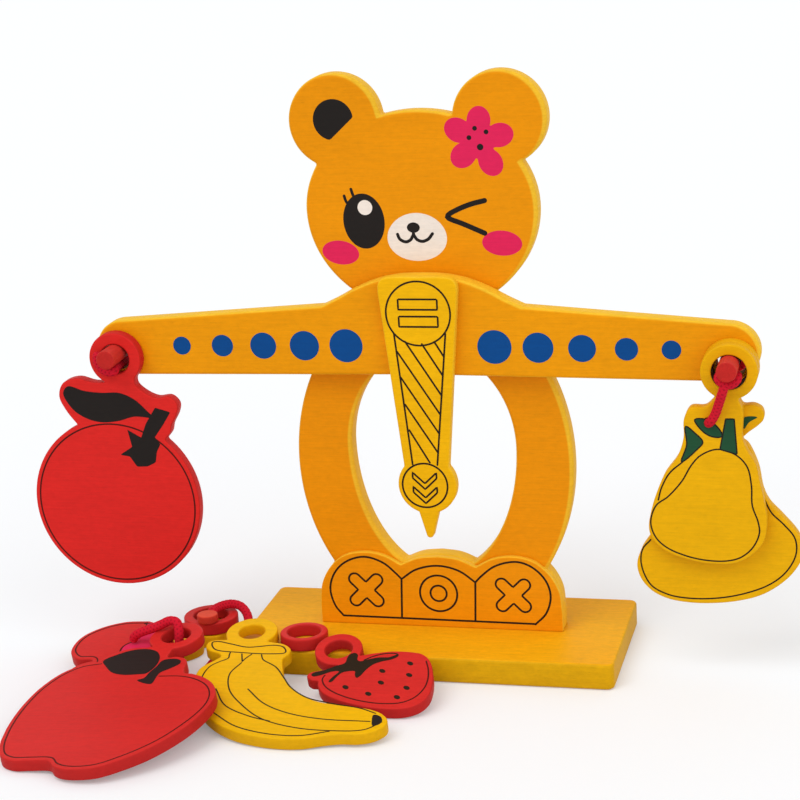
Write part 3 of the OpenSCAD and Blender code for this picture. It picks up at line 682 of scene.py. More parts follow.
base_size = base_high - base_low
base_outline = rounded_rectangle(base_size[0], base_size[1], base_corner)
base_bores = [(s * screw_x - base_place.origin[0], screw_y - base_place.origin[1], screw_head)
              for s in (-1, 1)]
points, faces, edge = board(base_outline, base_size[2], base_rim, bores=base_bores)
piece("base_board", "stand", base_place.world(points), faces, edge, base_paint, ["base"])

# %% Bear board and foot plate
base_top = base_size[2]
head_z, ear_x, ear_z, ear_r = 200.6, 35.6, 238.9, 20.2
body_z, window_z, body_cut = 88.0, 95.0, 4
body_size, head_size, window_size = (62, 78), (50.6, 42.3, 45.4), (36.8, 44.5, 59.5)
bear_rim, bear_lip, plate_rim = 1.5, 1.5, 0.6
foot_half_w, foot_h = 55.3, 34.5
foot_lobe_shares = [(1, 0.25), (0.98, 0.54), (0.9, 0.78), (0.78, 0.94), (0.61, 1), (0.45, 0.96), (0.31, 0.84)]
foot_middle_shares = [(0.31, 0.84), (0.16, 0.94), (0, 0.97)]


def feet():
    """Both feet: a lobe, a notch and a low rise between them, mirrored."""
    size = np.array([foot_half_w, foot_h])
    half = np.vstack([[(foot_half_w, 0)], smooth(np.array(foot_lobe_shares) * size, False),
                      smooth(np.array(foot_middle_shares) * size, False)[1:]])
    return mirrored(half) + [0, base_top]


def bear():
    """Body oval, cut level on the base board, joined with the feet, the head and both ears."""
    shape = joined(oval(0, body_z, *body_size), oval(0, head_z, *head_size))
    for side in (-1, 1):
        shape = joined(shape, oval(side * ear_x, ear_z, ear_r, ear_r))
    shape = shape[shape[:, 1] > base_top + body_cut]
    steps = np.linalg.norm(np.diff(shape, axis=0, append=shape[:1]), axis=1)
    return joined(np.roll(shape, -int(np.argmax(steps)) - 1, 0), feet())


# Rims that face right and a little up get a wider pale lip: a painted highlight where light catches them.
lit_rim_side = (1, 0.25)
bear_front, bear_back = depth_of("bear_panel")
bear_place = upright("bear_panel")
window = cut(oval(0, window_z, *window_size), feet())
points, faces, edge = board(bear(), bear_back - bear_front, bear_rim, holes=[window], lip=bear_lip,
                            lit_side=lit_rim_side)
piece("bear_board", "stand", bear_place.world(points), faces, edge, orange, ["bear_panel"])
plate_front, plate_back = depth_of("foot_plate")
plate_place = upright("foot_plate")
points, faces, edge = board(feet(), plate_back - plate_front, plate_rim)
piece("foot_board", "stand", plate_place.world(points), faces, edge, orange, ["foot_plate"])

# %% Prints on the bear's face
bear_t = bear_back - bear_front
inks = {k: ink("ink_" + k, c, print_grain) for k, c in ink_colours.items()}
lash_w, wink_w, mouth_w = 1.25, 2.2, 1.35


def rotated(points, a):
    """Flat points turned about zero, against the clock by a in radians."""
    return points @ np.array([[math.cos(a), math.sin(a)], [-math.sin(a), math.cos(a)]])


def bean(x, y, half_w, half_h, turn=0.0):
    """An oval turned about its middle, in degrees."""
    return rotated(oval(0, 0, half_w, half_h), math.radians(turn)) + [x, y]


ear_inside = oval(-35.9, 239.6, 8.8, 8.8)
ear_fold = np.array([(-30, 215), (-10, 225), (-20, 247.0), (-38, 230.8)])
lashes = [[(-29.9, 209.8), (-29.3, 207.6), (-28.3, 205.4)], [(-33.1, 206.9), (-32.4, 204.6), (-30.9, 202.4)]]
wink = [(28, 204.4), (22, 202.9), (16.5, 200.8), (12.4, 198.6), (11.6, 197.5), (12.6, 196.7), (18, 194.6),
        (27.5, 190.4)]
mouth = [(-10.5, 190.1), (-9.6, 188), (-7, 186.8), (-4.8, 187.8), (-3.5, 189.8), (-2.2, 187.9), (0.2, 187),
         (2.9, 188), (4.8, 190.3)]


def face_marks():
    """Eye, inside of one ear, lashes, wink, nose and mouth."""
    dark = [fill(bean(-25, 195.9, 9.1, 12, 4), bear_t), fill(cut(ear_inside, ear_fold), bear_t)]
    dark += [strip(smooth(lash, False), lash_w, bear_t) for lash in lashes]
    dark.append(strip(smooth(wink, False), wink_w, bear_t))
    dark.append(fill(oval(-3.4, 193, 2.85, 2.25), bear_t, layer=1))
    dark.append(strip([(-3.5, 192), (-3.5, 189.9)], mouth_w, bear_t, layer=1))
    dark.append(strip(smooth(mouth, False), mouth_w, bear_t, layer=1))
    return dark


blossom_middle = (26.2, 229.6)


def blossom_marks():
    """Five petals round their middle, and the two cheeks."""
    petals = [(27, 238.3), (35.6, 232), (31.4, 220.6), (19.9, 223.8), (18, 234.3)]
    shape = oval(*blossom_middle, 7, 7)
    for x, y in petals:
        towards = math.degrees(math.atan2(y - blossom_middle[1], x - blossom_middle[0]))
        shape = joined(shape, bean(x, y, 6.1, 5.1, towards))
    cheeks = [bean(-36.2, 182.2, 8.2, 5.2, -8), bean(34.8, 186.1, 8.6, 5.4, -4)]
    return [fill(mark, bear_t) for mark in (shape, *cheeks)]


printed("face_black", "stand", bear_place, face_marks(), inks["black"])
printed("face_pink", "stand", bear_place, blossom_marks(), inks["pink"])
muzzle_x, muzzle_z, muzzle_widening = -2, 188.9, 0.005
muzzle = oval(muzzle_x, muzzle_z, 13, 10.4)
muzzle[:, 0] += (muzzle[:, 0] - muzzle_x) * (muzzle_z - muzzle[:, 1]) * muzzle_widening
glint = fill(oval(-24.2, 201.8, 3.25, 3.25), bear_t, layer=1)
printed("face_muzzle", "stand", bear_place, [fill(muzzle, bear_t), glint], inks["cream"])
stamens = [(25.2, 235, 1.05), (30, 233.4, 1.05), (22.6, 231.1, 1.05), (27.2, 227.1, 1.4)]
blossom_dots = [fill(oval(x, y, r, r, count=24), bear_t, layer=1) for x, y, r in stamens]
printed("blossom_dots", "stand", bear_place, blossom_dots, inks["black"])

# %% Prints on the foot plate
plate_t = plate_back - plate_front
foot_line_w, cross_x, cross_z, cross_arm, cross_w, cross_gap = 0.9, 33.6, 28.0, 8.2, 5.4, 0.3


def cross(x, z, reach, width):
    """An outlined X: two round-ended bars joined, one each way across."""
    bar = rounded_rectangle(2 * reach * 1.2, width, width / 2 - 0.05)
    one, other = (evenly(rotated(bar, a) + [x, z], cross_gap) for a in (math.pi / 4, -math.pi / 4))
    runs = []
    for a, b in ((one, other), (other, one)):
        keep = ~inside(a, b)
        starts = np.flatnonzero(keep & ~np.roll(keep, 1))
        for s in starts:
            rolled, kept = np.roll(a, -s, 0), np.roll(keep, -s)
            runs.append(rolled[: int(np.argmin(kept)) if not kept.all() else len(kept)])
    order = sorted(runs, key=lambda r: math.atan2(r[len(r) // 2, 1] - z, r[len(r) // 2, 0] - x))
    return np.vstack(order)


def foot_marks():
    """A border inside the plate's outline, two dividers, two crosses and a ring between them."""
    left = [(-45, 15.2), (-48.6, 20), (-50.4, 28), (-48, 35.5), (-42.6, 41), (-34, 43.8), (-25.5, 41.5),
            (-19.5, 36.5), (-17, 33.8)]
    middle = [(-17, 33.8), (-10, 38.6), (0, 40.7), (9.5, 38.6), (16.7, 33.5)]
    lobe = [(16.7, 33.5), (19.5, 36.5), (26, 41.5), (35.5, 43.8), (42.5, 41.5), (48.3, 35.5), (50.3, 28),
            (48, 20), (43, 14.6)]
    lines = [smooth(left, False), smooth(middle, False), smooth(lobe, False), [(-45, 15.2), (43, 14.8)],
             [(-17, 33.8), (-17.8, 15.1)], [(16.7, 33.5), (15.9, 14.9)]]
    marks = [strip(l, foot_line_w, plate_t) for l in lines]
    for r in (8.5, 3.7):
        marks.append(strip(oval(-0.3, 27.6, r, r), foot_line_w, plate_t, closed=True))
    for s in (-1, 1):
        marks.append(strip(cross(s * cross_x, cross_z, cross_arm, cross_w), foot_line_w, plate_t,
                           closed=True))
    return marks


printed("foot_lines", "stand", plate_place, foot_marks(), inks["dark"])

# %% [markdown]
# ## The beam and its pointer
#
# The beam is a long board with a hump over its middle, and blue dots that shrink towards its ends. The
# pointer is glued on the hump's front and hides the screw that the beam turns on. Both could be drawn point
# by point. Here they are arcs and straight runs from a few measures, so that a measure can be changed later
# without drawing them again.
# %% Beam
pivot_z, beam_below, end_drop, shoulder_h, end_h = 158.0, 27.7, 1.4, 30.1, 24.8
arm_left, arm_right, end_r, hump_half_w, hump_h = 149.0, 143.0, 13.0, 44.0, 13.6
hump_shares = [(1, 0), (0.85, 0.23), (0.68, 0.52), (0.45, 0.82), (0.22, 0.97), (0, 1)]
stick_r, stick_hole_r, left_stick, right_stick = 4.25, 6.4, (-139.0, 139.9), (131.0, 139.2)
stick_play, recess_r, beam_rim, beam_lip, beam_bore_rim = 0.05, 7.3, 1.3, 1.0, 0.15


def beam_half(arm):
    """Lower corner, rounded end, then the shoulder and the hump, to the right of the pivot."""
    a = np.linspace(-np.pi / 2, np.pi / 2, 40)
    middle = -beam_below - end_drop + end_h / 2
    end = np.stack([arm - end_r + end_r * np.cos(a), middle + end_h / 2 * np.sin(a)], 1)
    top = [(x * hump_half_w, -beam_below + shoulder_h + y * hump_h) for x, y in hump_shares]
    return np.vstack([end, smooth(top, False)])


beam_front, beam_back = depth_of("beam")
beam_place = upright("beam")
beam_halves = [[(0, -beam_below)], beam_half(arm_right), beam_half(arm_left)[::-1] * [-1, 1]]
beam_outline = np.vstack(beam_halves) + [0, pivot_z]
beam_bores = [(x, z + stick_r + stick_play - stick_hole_r, stick_hole_r)
              for x, z in (left_stick, right_stick)]
beam_paint = painted("beam_paint", *paint_colours["beam"], bore=bore_colours["bare_wood"], grain=print_grain)
beam_bores.append((0, pivot_z, recess_r))
points, faces, edge = board(beam_outline, beam_back - beam_front, beam_rim, bores=beam_bores, lip=beam_lip,
                            lit_side=lit_rim_side, bore_rim=beam_bore_rim)
piece("beam_board", "balance_beam", beam_place.world(points), faces, edge, beam_paint, ["beam"])
dot_radii = [7.4, 6.6, 5.9, 4.9, 4.1]
dots_x, first_dot, dot_step, dots_z, dot_fall = -1.3, 32.66, 18.75, 143.1, 0.15
dots = [(dots_x + s * (first_dot + dot_step * k), dots_z - dot_fall * k, r)
        for s in (-1, 1) for k, r in enumerate(dot_radii)]
beam_dots = [fill(oval(x, z, r, r), beam_back - beam_front) for x, z, r in dots]
printed("beam_dots", "balance_beam", beam_place, beam_dots, inks["blue"])

# %% Pointer
pointer_up, pointer_half_w, pointer_waist, disc_r, disc_drop = 16.5, 17.3, 9.9, 13.0, 76.0
tip_half_w, tip_drop, tip_r, pointer_rim = 4.4, 100.2, 1.6, 0.8
pointer_top_shares = [(0, 1), (0.66, 1), (0.88, 0.95), (0.98, 0.82), (1, 0.61)]
pointer_front, pointer_back = depth_of("pointer")
pointer_t = pointer_back - pointer_front
yellow = painted("yellow_paint", *paint_colours["yellow"], grain=print_grain)


def pointer_outline():
    """Rounded top, straight taper, the disc's arc and a short round tip, mirrored."""
    top = smooth(np.array(pointer_top_shares) * [pointer_half_w, pointer_up], False)
    a = np.linspace(math.acos(pointer_waist / disc_r), -math.acos(tip_half_w / disc_r), 40)
    disc = np.stack([disc_r * np.cos(a), disc_r * np.sin(a) - disc_drop], 1)
    b = np.linspace(0, -np.pi / 2, 8)
    tip = np.stack([tip_r * np.cos(b), tip_r - tip_drop + tip_r * np.sin(b)], 1)
    half = np.vstack([top, disc, tip]) + [0, pivot_z]
    return mirrored(half)[::-1]


stripes = [
    [(-6.3, 146.5), (8.3, 123)], [(1, 145.5), (9.5, 131.5)], [(6.5, 146.5), (10.3, 140)],
    [(-10, 142), (7.3, 114.5)], [(-9, 130.5), (6.3, 106)], [(-7.8, 118.5), (5.6, 97)],
    [(-6.6, 107), (1.7, 92.5)]]


def chevron(apex, x=-1, arm=5.3, rise=5.0, thick=2.6):
    """Two arms that rise from a point, and the same two lower down."""
    up = [(x - arm, apex + rise + thick), (x, apex + thick), (x + arm, apex + rise + thick)]
    return up + [(x + arm, apex + rise), (x, apex), (x - arm, apex + rise)]


def pointer_marks():
    """A ring with two bars, a striped frame and a ring with two chevrons."""
    rings = [oval(0, 158.8, 14, 14), oval(-1, 82, 10, 10)]
    bars = [[(-8.5, low), (8.5, low), (8.5, high), (-8.5, high)]
            for low, high in ((160.5, 165), (153, 157.5))]
    sides = [[(-11, 150), (-6, 91.5)], [(11.5, 150), (5, 91.5)]]
    runs = [(p, True) for p in rings + bars] + [(p, False) for p in sides + stripes]
    runs += [(chevron(apex), True) for apex in (80.3, 73.8)]
    return [line(p, pointer_t, closed=closed, curved=False) for p, closed in runs]


points, faces, edge = board(pointer_outline(), pointer_t, pointer_rim)
pointer_place = upright("pointer")
piece("pointer_board", "balance_beam", pointer_place.world(points), faces, edge, yellow, ["pointer"])
printed("pointer_lines", "balance_beam", pointer_place, pointer_marks(), inks["dark"])

# %% Sticks
stick_paint = painted("stick_paint", *paint_colours["stick"], grain=(0, 0, math.radians(90)), streak=1.6)


def turned_rod(x, z, front, back, radius, bevel=0.6, count=64):
    """A profile of radius along the depth, turned about the stick's own line."""
    a = np.linspace(0, np.pi / 2, 5)
    r = np.r_[radius * 0.5, radius - bevel + bevel * np.sin(a)]
    y = np.r_[front, front + bevel - bevel * np.cos(a)]
    r, y = np.r_[r, r[::-1]], np.r_[y, front + back - y[::-1]]
    t = np.linspace(0, 2 * np.pi, count, endpoint=False)
    level = np.repeat(y[:, None], count, 1)
    rows = np.stack([x + r[:, None] * np.cos(t), level, z + r[:, None] * np.sin(t)], -1)
    quads = wall(rows, 0, False)
    ends = np.stack([np.arange(count), (len(r) - 1) * count + np.arange(count)[::-1]])
    share = np.r_[0, np.sin(a), np.sin(a)[::-1], 0]
    return rows.reshape(-1, 3) * MM, [quads, ends], np.repeat(share, count)


def stick(name, node, place):
    """A dowel from the node's box."""
    front, back = depth_of(node)
    points, faces, edge = turned_rod(*place, front, back, stick_r)
    piece(name, "balance_beam", points, faces, edge, stick_paint, [node], flat_last=False)


stick("left_dowel", "left_stick", left_stick)
stick("right_dowel", "right_stick", right_stick)

# %% [markdown]
# ## Hung fruit
#
# Each fruit board is a body and a ring in one outline, so the outline of the fruit is joined with a circle.
# The board hangs with the top of its hole on the stick. Two pears share the right stick, one behind the
# other, and the front one has a small hole for the cord. A fruit could be traced in millimetres, but its
# outline is kept as shares of one fruit size instead, so that a smaller copy is one number away.
# %% Fruit outlines


def ringed(shape, ring_r):
    """A fruit outline, measured from the middle of its ring, joined with the ring."""
    return joined(shape, oval(0, 0, ring_r, ring_r))


round_leaf_shares = [
    (-0.04, -0.07), (-0.04, -0.1), (-0.11, -0.108), (-0.19, -0.09), (-0.26, -0.115), (-0.283, -0.175),
    (-0.26, -0.235), (-0.205, -0.31), (-0.12, -0.4), (0.12, -0.42), (0.227, -0.342), (0.24, -0.3),
    (0.27, -0.245), (0.275, -0.205), (0.24, -0.17), (0.18, -0.175), (0.13, -0.155), (0.085, -0.115),
    (0.08, -0.07)]
front_pear_shares = [
    (-0.04, -0.085), (-0.07, -0.123), (-0.1, -0.148), (-0.16, -0.153), (-0.187, -0.203), (-0.19, -0.283),
    (-0.215, -0.363), (-0.27, -0.443), (-0.305, -0.523), (-0.33, -0.603), (-0.343, -0.683), (-0.33, -0.733),
    (-0.28, -0.783), (-0.19, -0.82), (-0.08, -0.838), (0.01, -0.833), (0.08, -0.798), (0.135, -0.733),
    (0.15, -0.643), (0.14, -0.563), (0.12, -0.463), (0.105, -0.393), (0.07, -0.333), (0.053, -0.283),
    (0.055, -0.163), (0.04, -0.125), (0.03, -0.085)]
back_pear_shares = [
    (-0.04, -0.085), (-0.06, -0.12), (-0.09, -0.16), (-0.14, -0.2), (-0.12, -0.28), (-0.14, -0.38),
    (-0.2, -0.5), (-0.27, -0.62), (-0.34, -0.733), (-0.385, -0.803), (-0.405, -0.873), (-0.39, -0.935),
    (-0.345, -0.99), (-0.275, -1.025), (-0.185, -1.039), (-0.095, -1.039), (0.015, -1.025),
    (0.115, -0.995), (0.195, -0.945), (0.255, -0.884), (0.295, -0.803), (0.285, -0.74), (0.265, -0.703),
    (0.205, -0.633), (0.155, -0.578), (0.13, -0.523), (0.11, -0.42), (0.07, -0.33), (0.045, -0.306),
    (0.065, -0.28), (0.115, -0.24), (0.135, -0.215), (0.13, -0.175), (0.095, -0.155), (0.05, -0.155),
    (0.035, -0.12), (0.03, -0.085)]
fruit_size = 100.0
pear_lacing = (-8.5, -21.8, 2.2)


def sized(shares, size=fruit_size):
    """Shares of a fruit's size as millimetres."""
    return np.array(shares) * size


round_fruit_outline = ringed(joined(smooth(sized(round_leaf_shares)), oval(-5.3, -67, 39.2, 39.2)), 12)
front_pear_outline = ringed(smooth(sized(front_pear_shares)), 11.8)
back_pear_outline = ringed(smooth(sized(back_pear_shares)), 11.8)
print("round fruit is", round(np.ptp(round_fruit_outline[:, 1]), 1), "mm tall with its ring")

# %% Round fruit
round_hole_r, pear_hole_r, fruit_line_w, leaf_line_w = 6.7, 7.2, 0.65, 0.55
round_ring = (left_stick[0], left_stick[1] + stick_r + stick_play - round_hole_r)
red = painted("red_paint", *paint_colours["red"], grain=print_grain)


def hung(node, ring):
    """An upright board measured from the middle of its ring."""
    front, back = depth_of(node)
    return Place((ring[0], back, ring[1]), turned(tilt=90)), back - front


round_place, fruit_t = hung("round_fruit", round_ring)
points, faces, edge = board(round_fruit_outline, fruit_t, 0.7, bores=[(0, 0, round_hole_r)])
piece("round_fruit_board", "hung_round_fruit", round_place.world(points), faces, edge, red, ["round_fruit"])


def round_fruit_marks():
    """A solid leaf, stem and calyx; the ring inside the rim is a line of its own, drawn beside them."""
    leaf = [(-165, 121.5), (-162.5, 124.8), (-155, 122.8), (-147, 122), (-138, 122), (-131, 118.8),
            (-125, 113), (-122.5, 110.8), (-132, 111.2), (-140, 109), (-148, 108.3), (-155, 110),
            (-161, 114)]
    stem = [(-122, 115.5), (-115, 113.5), (-119, 107.5), (-123.5, 101.5), (-130, 101), (-127, 108)]
    calyx = [(-136, 105), (-134.5, 97), (-140.5, 93.2), (-136, 92.5), (-133, 87.8), (-128, 88), (-124, 90),
             (-123, 95), (-121, 98.5), (-123.5, 102), (-130, 101.5)]
    return [solid(leaf, fruit_t, round_ring, layer=1), solid(stem, fruit_t, round_ring, False, 1),
            solid(calyx, fruit_t, round_ring, False, 1)]


rim_line = strip(oval(-5.3, -67, 37, 37), 0.7, fruit_t, True)
printed("round_fruit_line", "hung_round_fruit", round_place, [rim_line], inks["brown"])
printed("round_fruit_leaf", "hung_round_fruit", round_place, round_fruit_marks(), inks["black"])

# %% Pears
pear_ring = (right_stick[0], right_stick[1] + stick_r + stick_play - pear_hole_r)
# The pears' bores get the dark colour, painted shade deep in their holes.
fruit_yellow = painted("fruit_yellow_paint", *paint_colours["fruit_yellow"], bore=bore_colours["dark"],
                       grain=print_grain)
front_place, _ = hung("front_pear", pear_ring)
points, faces, edge = board(front_pear_outline, fruit_t, 0.7, bores=[(0, 0, pear_hole_r), pear_lacing])
piece("front_pear_board", "hung_front_pear", front_place.world(points), faces, edge, fruit_yellow,
      ["front_pear"])
back_place, _ = hung("back_pear", pear_ring)
points, faces, edge = board(back_pear_outline, fruit_t, 0.7, bores=[(0, 0, pear_hole_r)])
piece("back_pear_board", "hung_back_pear", back_place.world(points), faces, edge, fruit_yellow, ["back_pear"])


pear_line = [(126, 103.3), (119, 100.5), (115, 96), (111, 89), (105, 82), (100, 78), (97.6, 70.5),
             (99.5, 64), (104, 59.5), (112, 56), (120, 54.3), (129, 54.2), (135, 56), (140, 60.5),
             (142.8, 67), (142.3, 72), (140, 79), (139.7, 88), (138, 96), (133.5, 101)]
pear_shadow = [(111.5, 97.5), (106, 92.5), (102.5, 86), (101, 80.5)]
pear_leaves = [[(113, 113), (117, 110), (120, 106.3), (117.5, 103), (111, 97.5), (113.3, 105)],
               [(116.8, 116), (122, 116), (126.5, 112.5), (128, 109), (124, 108.7), (120, 111)]]
pear_stem = [(129.5, 116.5), (133, 116.5), (134, 101.3), (127, 103.3)]
pear_lines = [line(pear_line, fruit_t, pear_ring, fruit_line_w, closed=True),
              line(pear_shadow, fruit_t, pear_ring, fruit_line_w)]
printed("front_pear_lines", "hung_front_pear", front_place, pear_lines, inks["dark"])
green_marks = [solid(l, fruit_t, pear_ring, layer=1) for l in pear_leaves]
green_marks.append(solid(pear_stem, fruit_t, pear_ring, False, 1))
printed("front_pear_leaves", "hung_front_pear", front_place, green_marks, inks["green"])
outlined = [line(l, fruit_t, pear_ring, leaf_line_w, closed=True, layer=2) for l in pear_leaves]
outlined.append(line(pear_stem, fruit_t, pear_ring, leaf_line_w, closed=True, curved=False, layer=2))
printed("front_pear_leaf_lines", "hung_front_pear", front_place, outlined, inks["black"])
back_line = [(96.6, 60.5), (93, 56), (92.4, 49), (96.3, 40), (103.3, 36), (111.3, 34.6), (123.3, 34.9),
             (135.3, 37.4), (146.3, 42), (153.3, 48), (157.4, 56), (157, 63), (152.5, 69), (147.5, 74),
             (144, 81)]
back_leaf = [(136.4, 115.4), (142, 115.7), (138.5, 113.4), (136.4, 110.4)]
back_line_mark = line(back_line, fruit_t, pear_ring, fruit_line_w)
back_leaf_mark = solid(back_leaf, fruit_t, pear_ring, layer=1)
printed("back_pear_line", "hung_back_pear", back_place, [back_line_mark], inks["dark"])
printed("back_pear_leaf", "hung_back_pear", back_place, [back_leaf_mark], inks["green"])

# %% [markdown]
# ## Loose fruit
#
# The loose boards lie in a pile. The banana and the strawberry lean with their low edge on the floor and
# their ring over the base board's front edge, so their tilt follows from the base board's height. The apple
# lies across the banana, and the peach lies under the apple on the same slope. A physics run could drop the
# boards, but they would come to rest in some other pile. Worked out from the sizes, they lie as they do in
# the photograph and touch without cutting into each other.
# %% Loose fruit outlines
apple_shares = [
    (-0.06, -0.085), (-0.1, -0.1), (-0.165, -0.103), (-0.235, -0.14), (-0.295, -0.22), (-0.355, -0.242),
    (-0.425, -0.31), (-0.475, -0.425), (-0.497, -0.545), (-0.502, -0.675), (-0.492, -0.795),
    (-0.465, -0.915), (-0.425, -0.985), (-0.365, -1.015), (-0.295, -1.015), (-0.205, -1.02),
    (-0.165, -1.062), (-0.115, -1.083), (-0.045, -1.087), (0.025, -1.073), (0.11, -1.02),
    (0.185, -0.955), (0.245, -0.88), (0.305, -0.775), (0.34, -0.675), (0.355, -0.585), (0.35, -0.515),
    (0.315, -0.435), (0.255, -0.375), (0.185, -0.34), (0.155, -0.335), (0.14, -0.305), (0.135, -0.255),
    (0.115, -0.21), (0.065, -0.19), (0.03, -0.195), (0.025, -0.13), (0.03, -0.085)]
banana_shares = [
    (-0.06, -0.06), (-0.1, -0.075), (-0.14, -0.08), (-0.17, -0.1), (-0.17, -0.14), (-0.14, -0.17),
    (-0.1, -0.185), (-0.08, -0.21), (-0.1, -0.245), (-0.14, -0.305), (-0.145, -0.365), (-0.135, -0.425),
    (-0.1, -0.505), (-0.04, -0.615), (0.04, -0.7), (0.14, -0.76), (0.24, -0.79), (0.34, -0.802),
    (0.44, -0.795), (0.54, -0.76), (0.6, -0.745), (0.67, -0.74), (0.73, -0.715), (0.77, -0.665),
    (0.77, -0.625), (0.74, -0.585), (0.68, -0.555), (0.54, -0.535), (0.44, -0.515), (0.36, -0.475),
    (0.3, -0.415), (0.25, -0.345), (0.22, -0.265), (0.205, -0.205), (0.22, -0.165), (0.215, -0.125),
    (0.175, -0.09), (0.11, -0.075), (0.06, -0.06)]
strawberry_shares = [
    (0.01, -0.06), (0.02, -0.11), (-0.035, -0.14), (-0.09, -0.165), (-0.095, -0.19), (-0.07, -0.212),
    (-0.04, -0.215), (-0.035, -0.24), (-0.005, -0.285), (0.065, -0.325), (0.165, -0.355), (0.265, -0.37),
    (0.365, -0.363), (0.425, -0.33), (0.455, -0.28), (0.46, -0.21), (0.445, -0.12), (0.415, -0.045),
    (0.375, -0.007), (0.325, 0.003), (0.245, 0.003), (0.165, -0.015), (0.09, -0.035), (0.03, 0)]
peach_half_shares = [
    (-0.03, -0.06), (-0.035, -0.08), (-0.06, -0.105), (-0.13, -0.095), (-0.2, -0.14), (-0.235, -0.22),
    (-0.235, -0.3), (-0.19, -0.385), (-0.11, -0.45), (0, -0.48)]
apple_shape = smooth(sized(apple_shares))
banana_shape = smooth(sized(banana_shares))
strawberry_shape = smooth(sized(strawberry_shares))
peach_shape = mirrored(smooth(sized(peach_half_shares), False))
print("banana reaches", round(-banana_shape[:, 1].min(), 1), "mm below its ring")

# %% Where the loose boards lie
base_front, seat_gap, board_gap = -base_low[1], 0.2, 0.3
banana_at, strawberry_at, apple_at, peach_at = (-79.0, -31.5), (-36.5, -40.8), (-110.0, -43.2), (-35.1, -21.0)
apple_tilt, apple_roll, peach_turn = 6.37, 4.29, 165.0
far_at, small_turn, small_size = (-110.0, 1.0), -18.0, 60.0
base_ring_at, button_at, button_r, button_t = (-56.4, -27.5), (-108.5, -7.8), 4.8, 3.7


def leaning(shape, at):
    """Low edge on the floor, under side on the base board's front edge.

    The sine of the tilt is the edge's height over its distance from the low edge.
    """
    reach = -shape[:, 1].min()
    tilt = math.degrees(math.asin((base_top + seat_gap) / (reach - (base_front + at[1]))))
    return Place((*at, reach * math.sin(math.radians(tilt))), turned(tilt=tilt))


apple_turn = turned(tilt=apple_tilt, roll=-apple_roll)
apple_place = Place((*apple_at, -(apple_shape @ apple_turn[2, :2]).min()), apple_turn)
peach_place = Place(apple_place.origin + apple_turn @ [*peach_at, -fruit_t - board_gap],
                    turned(tilt=apple_tilt, roll=-apple_roll, turn=peach_turn))
banana_place, strawberry_place = leaning(banana_shape, banana_at), leaning(strawberry_shape, strawberry_at)
small_place = Place((*far_at, 0), turned(turn=small_turn))
far_place = Place((*far_at, fruit_t + board_gap), turned())
base_ring_place = Place((*base_ring_at, base_top + seat_gap), turned())
print("the apple's ring lies", round(float(apple_place.origin[2]), 2), "mm up")

# %% Loose boards


def loose(name, node, body, place, outline, paint, hole_r, bores=()):
    """A board with its ring hole, in its own direction of grain."""
    material = painted("paint_" + node, *paint_colours[paint], grain=place.grain())
    points, faces, edge = board(outline, fruit_t, 0.7, bores=[(0, 0, hole_r), *bores])
    piece(name, body, place.world(points), faces, edge, material, [node])


loose("apple_board", "apple", "loose_apple", apple_place, ringed(apple_shape, 12), "pile_red", 6.5)
loose("peach_board", "peach", "loose_peach", peach_place, ringed(peach_shape, 10.5), "pile_red", 5.5,
      [(-6, -28, 2.2)])
loose("banana_board", "banana", "loose_banana", banana_place, ringed(banana_shape, 11.5), "pile_yellow", 5.8)
small_shape = (smooth(sized(banana_shares, small_size)) * [-1, 1])[::-1]
loose("small_banana_board", "small_banana", "loose_small_banana", small_place, ringed(small_shape, 12),
      "pile_yellow", 6)
loose("strawberry_board", "strawberry", "loose_strawberry", strawberry_place, ringed(strawberry_shape, 10.5),
      "pile_red", 6)
loose("base_ring_board", "base_ring", "loose_base_ring", base_ring_place, oval(0, 0, 10.6, 10.6), "pile_red",
      7.4)
loose("far_ring_board", "far_ring", "loose_far_ring", far_place, oval(0, 0, 12.5, 12.5), "pile_red", 8)

# %% Prints on the apple
apple_ring, banana_ring, strawberry_ring = (9.5, 109.5), (-34.0, 86.5), (-36.5, 41.0)


def inks_for(place, *names):
    """Inks whose streaks run with the board they lie on."""
    return [ink("ink_%s_%d" % (n, len(bpy.data.materials)), ink_colours[n], place.grain()) for n in names]


apple_line = [(14, 73.5), (24, 73), (31, 70.5), (38, 65), (42, 57.5), (42.8, 50), (41.2, 42), (37.6, 33),
              (32, 23), (26, 15.8), (19, 9.5), (11.4, 4.4), (5, 3), (-1.6, 3.4), (-6, 5.4), (-10, 9.6),
              (-20, 10.2), (-26.6, 10.2), (-31.6, 12.8), (-35, 19), (-37.5, 30), (-38.5, 42), (-38, 54.6),
              (-36, 66), (-31.2, 77), (-25, 83.2), (-17, 85.5)]
apple_leaf = [(-17, 88), (-12, 93.5), (-6, 97), (0, 97.5), (5, 95.5), (8, 91.5), (9.5, 86), (9, 80),
              (7, 76), (4, 75.5), (-3, 75.3), (-9, 77.5), (-14, 83)]
apple_stem = [(11, 87), (15, 88.3), (19, 87), (20, 84), (17, 80), (13.5, 76.5), (13, 73), (12.5, 67),
              (5, 70.5), (7.5, 72), (8.5, 77), (10, 82)]
brown_ink, black_ink = inks_for(apple_place, "brown", "black")
printed("apple_line", "loose_apple", apple_place, [line(apple_line, fruit_t, apple_ring, fruit_line_w)],
        brown_ink)
leaf_and_stem = [solid(shape, fruit_t, apple_ring, layer=1) for shape in (apple_leaf, apple_stem)]
printed("apple_leaf", "loose_apple", apple_place, leaf_and_stem, black_ink)

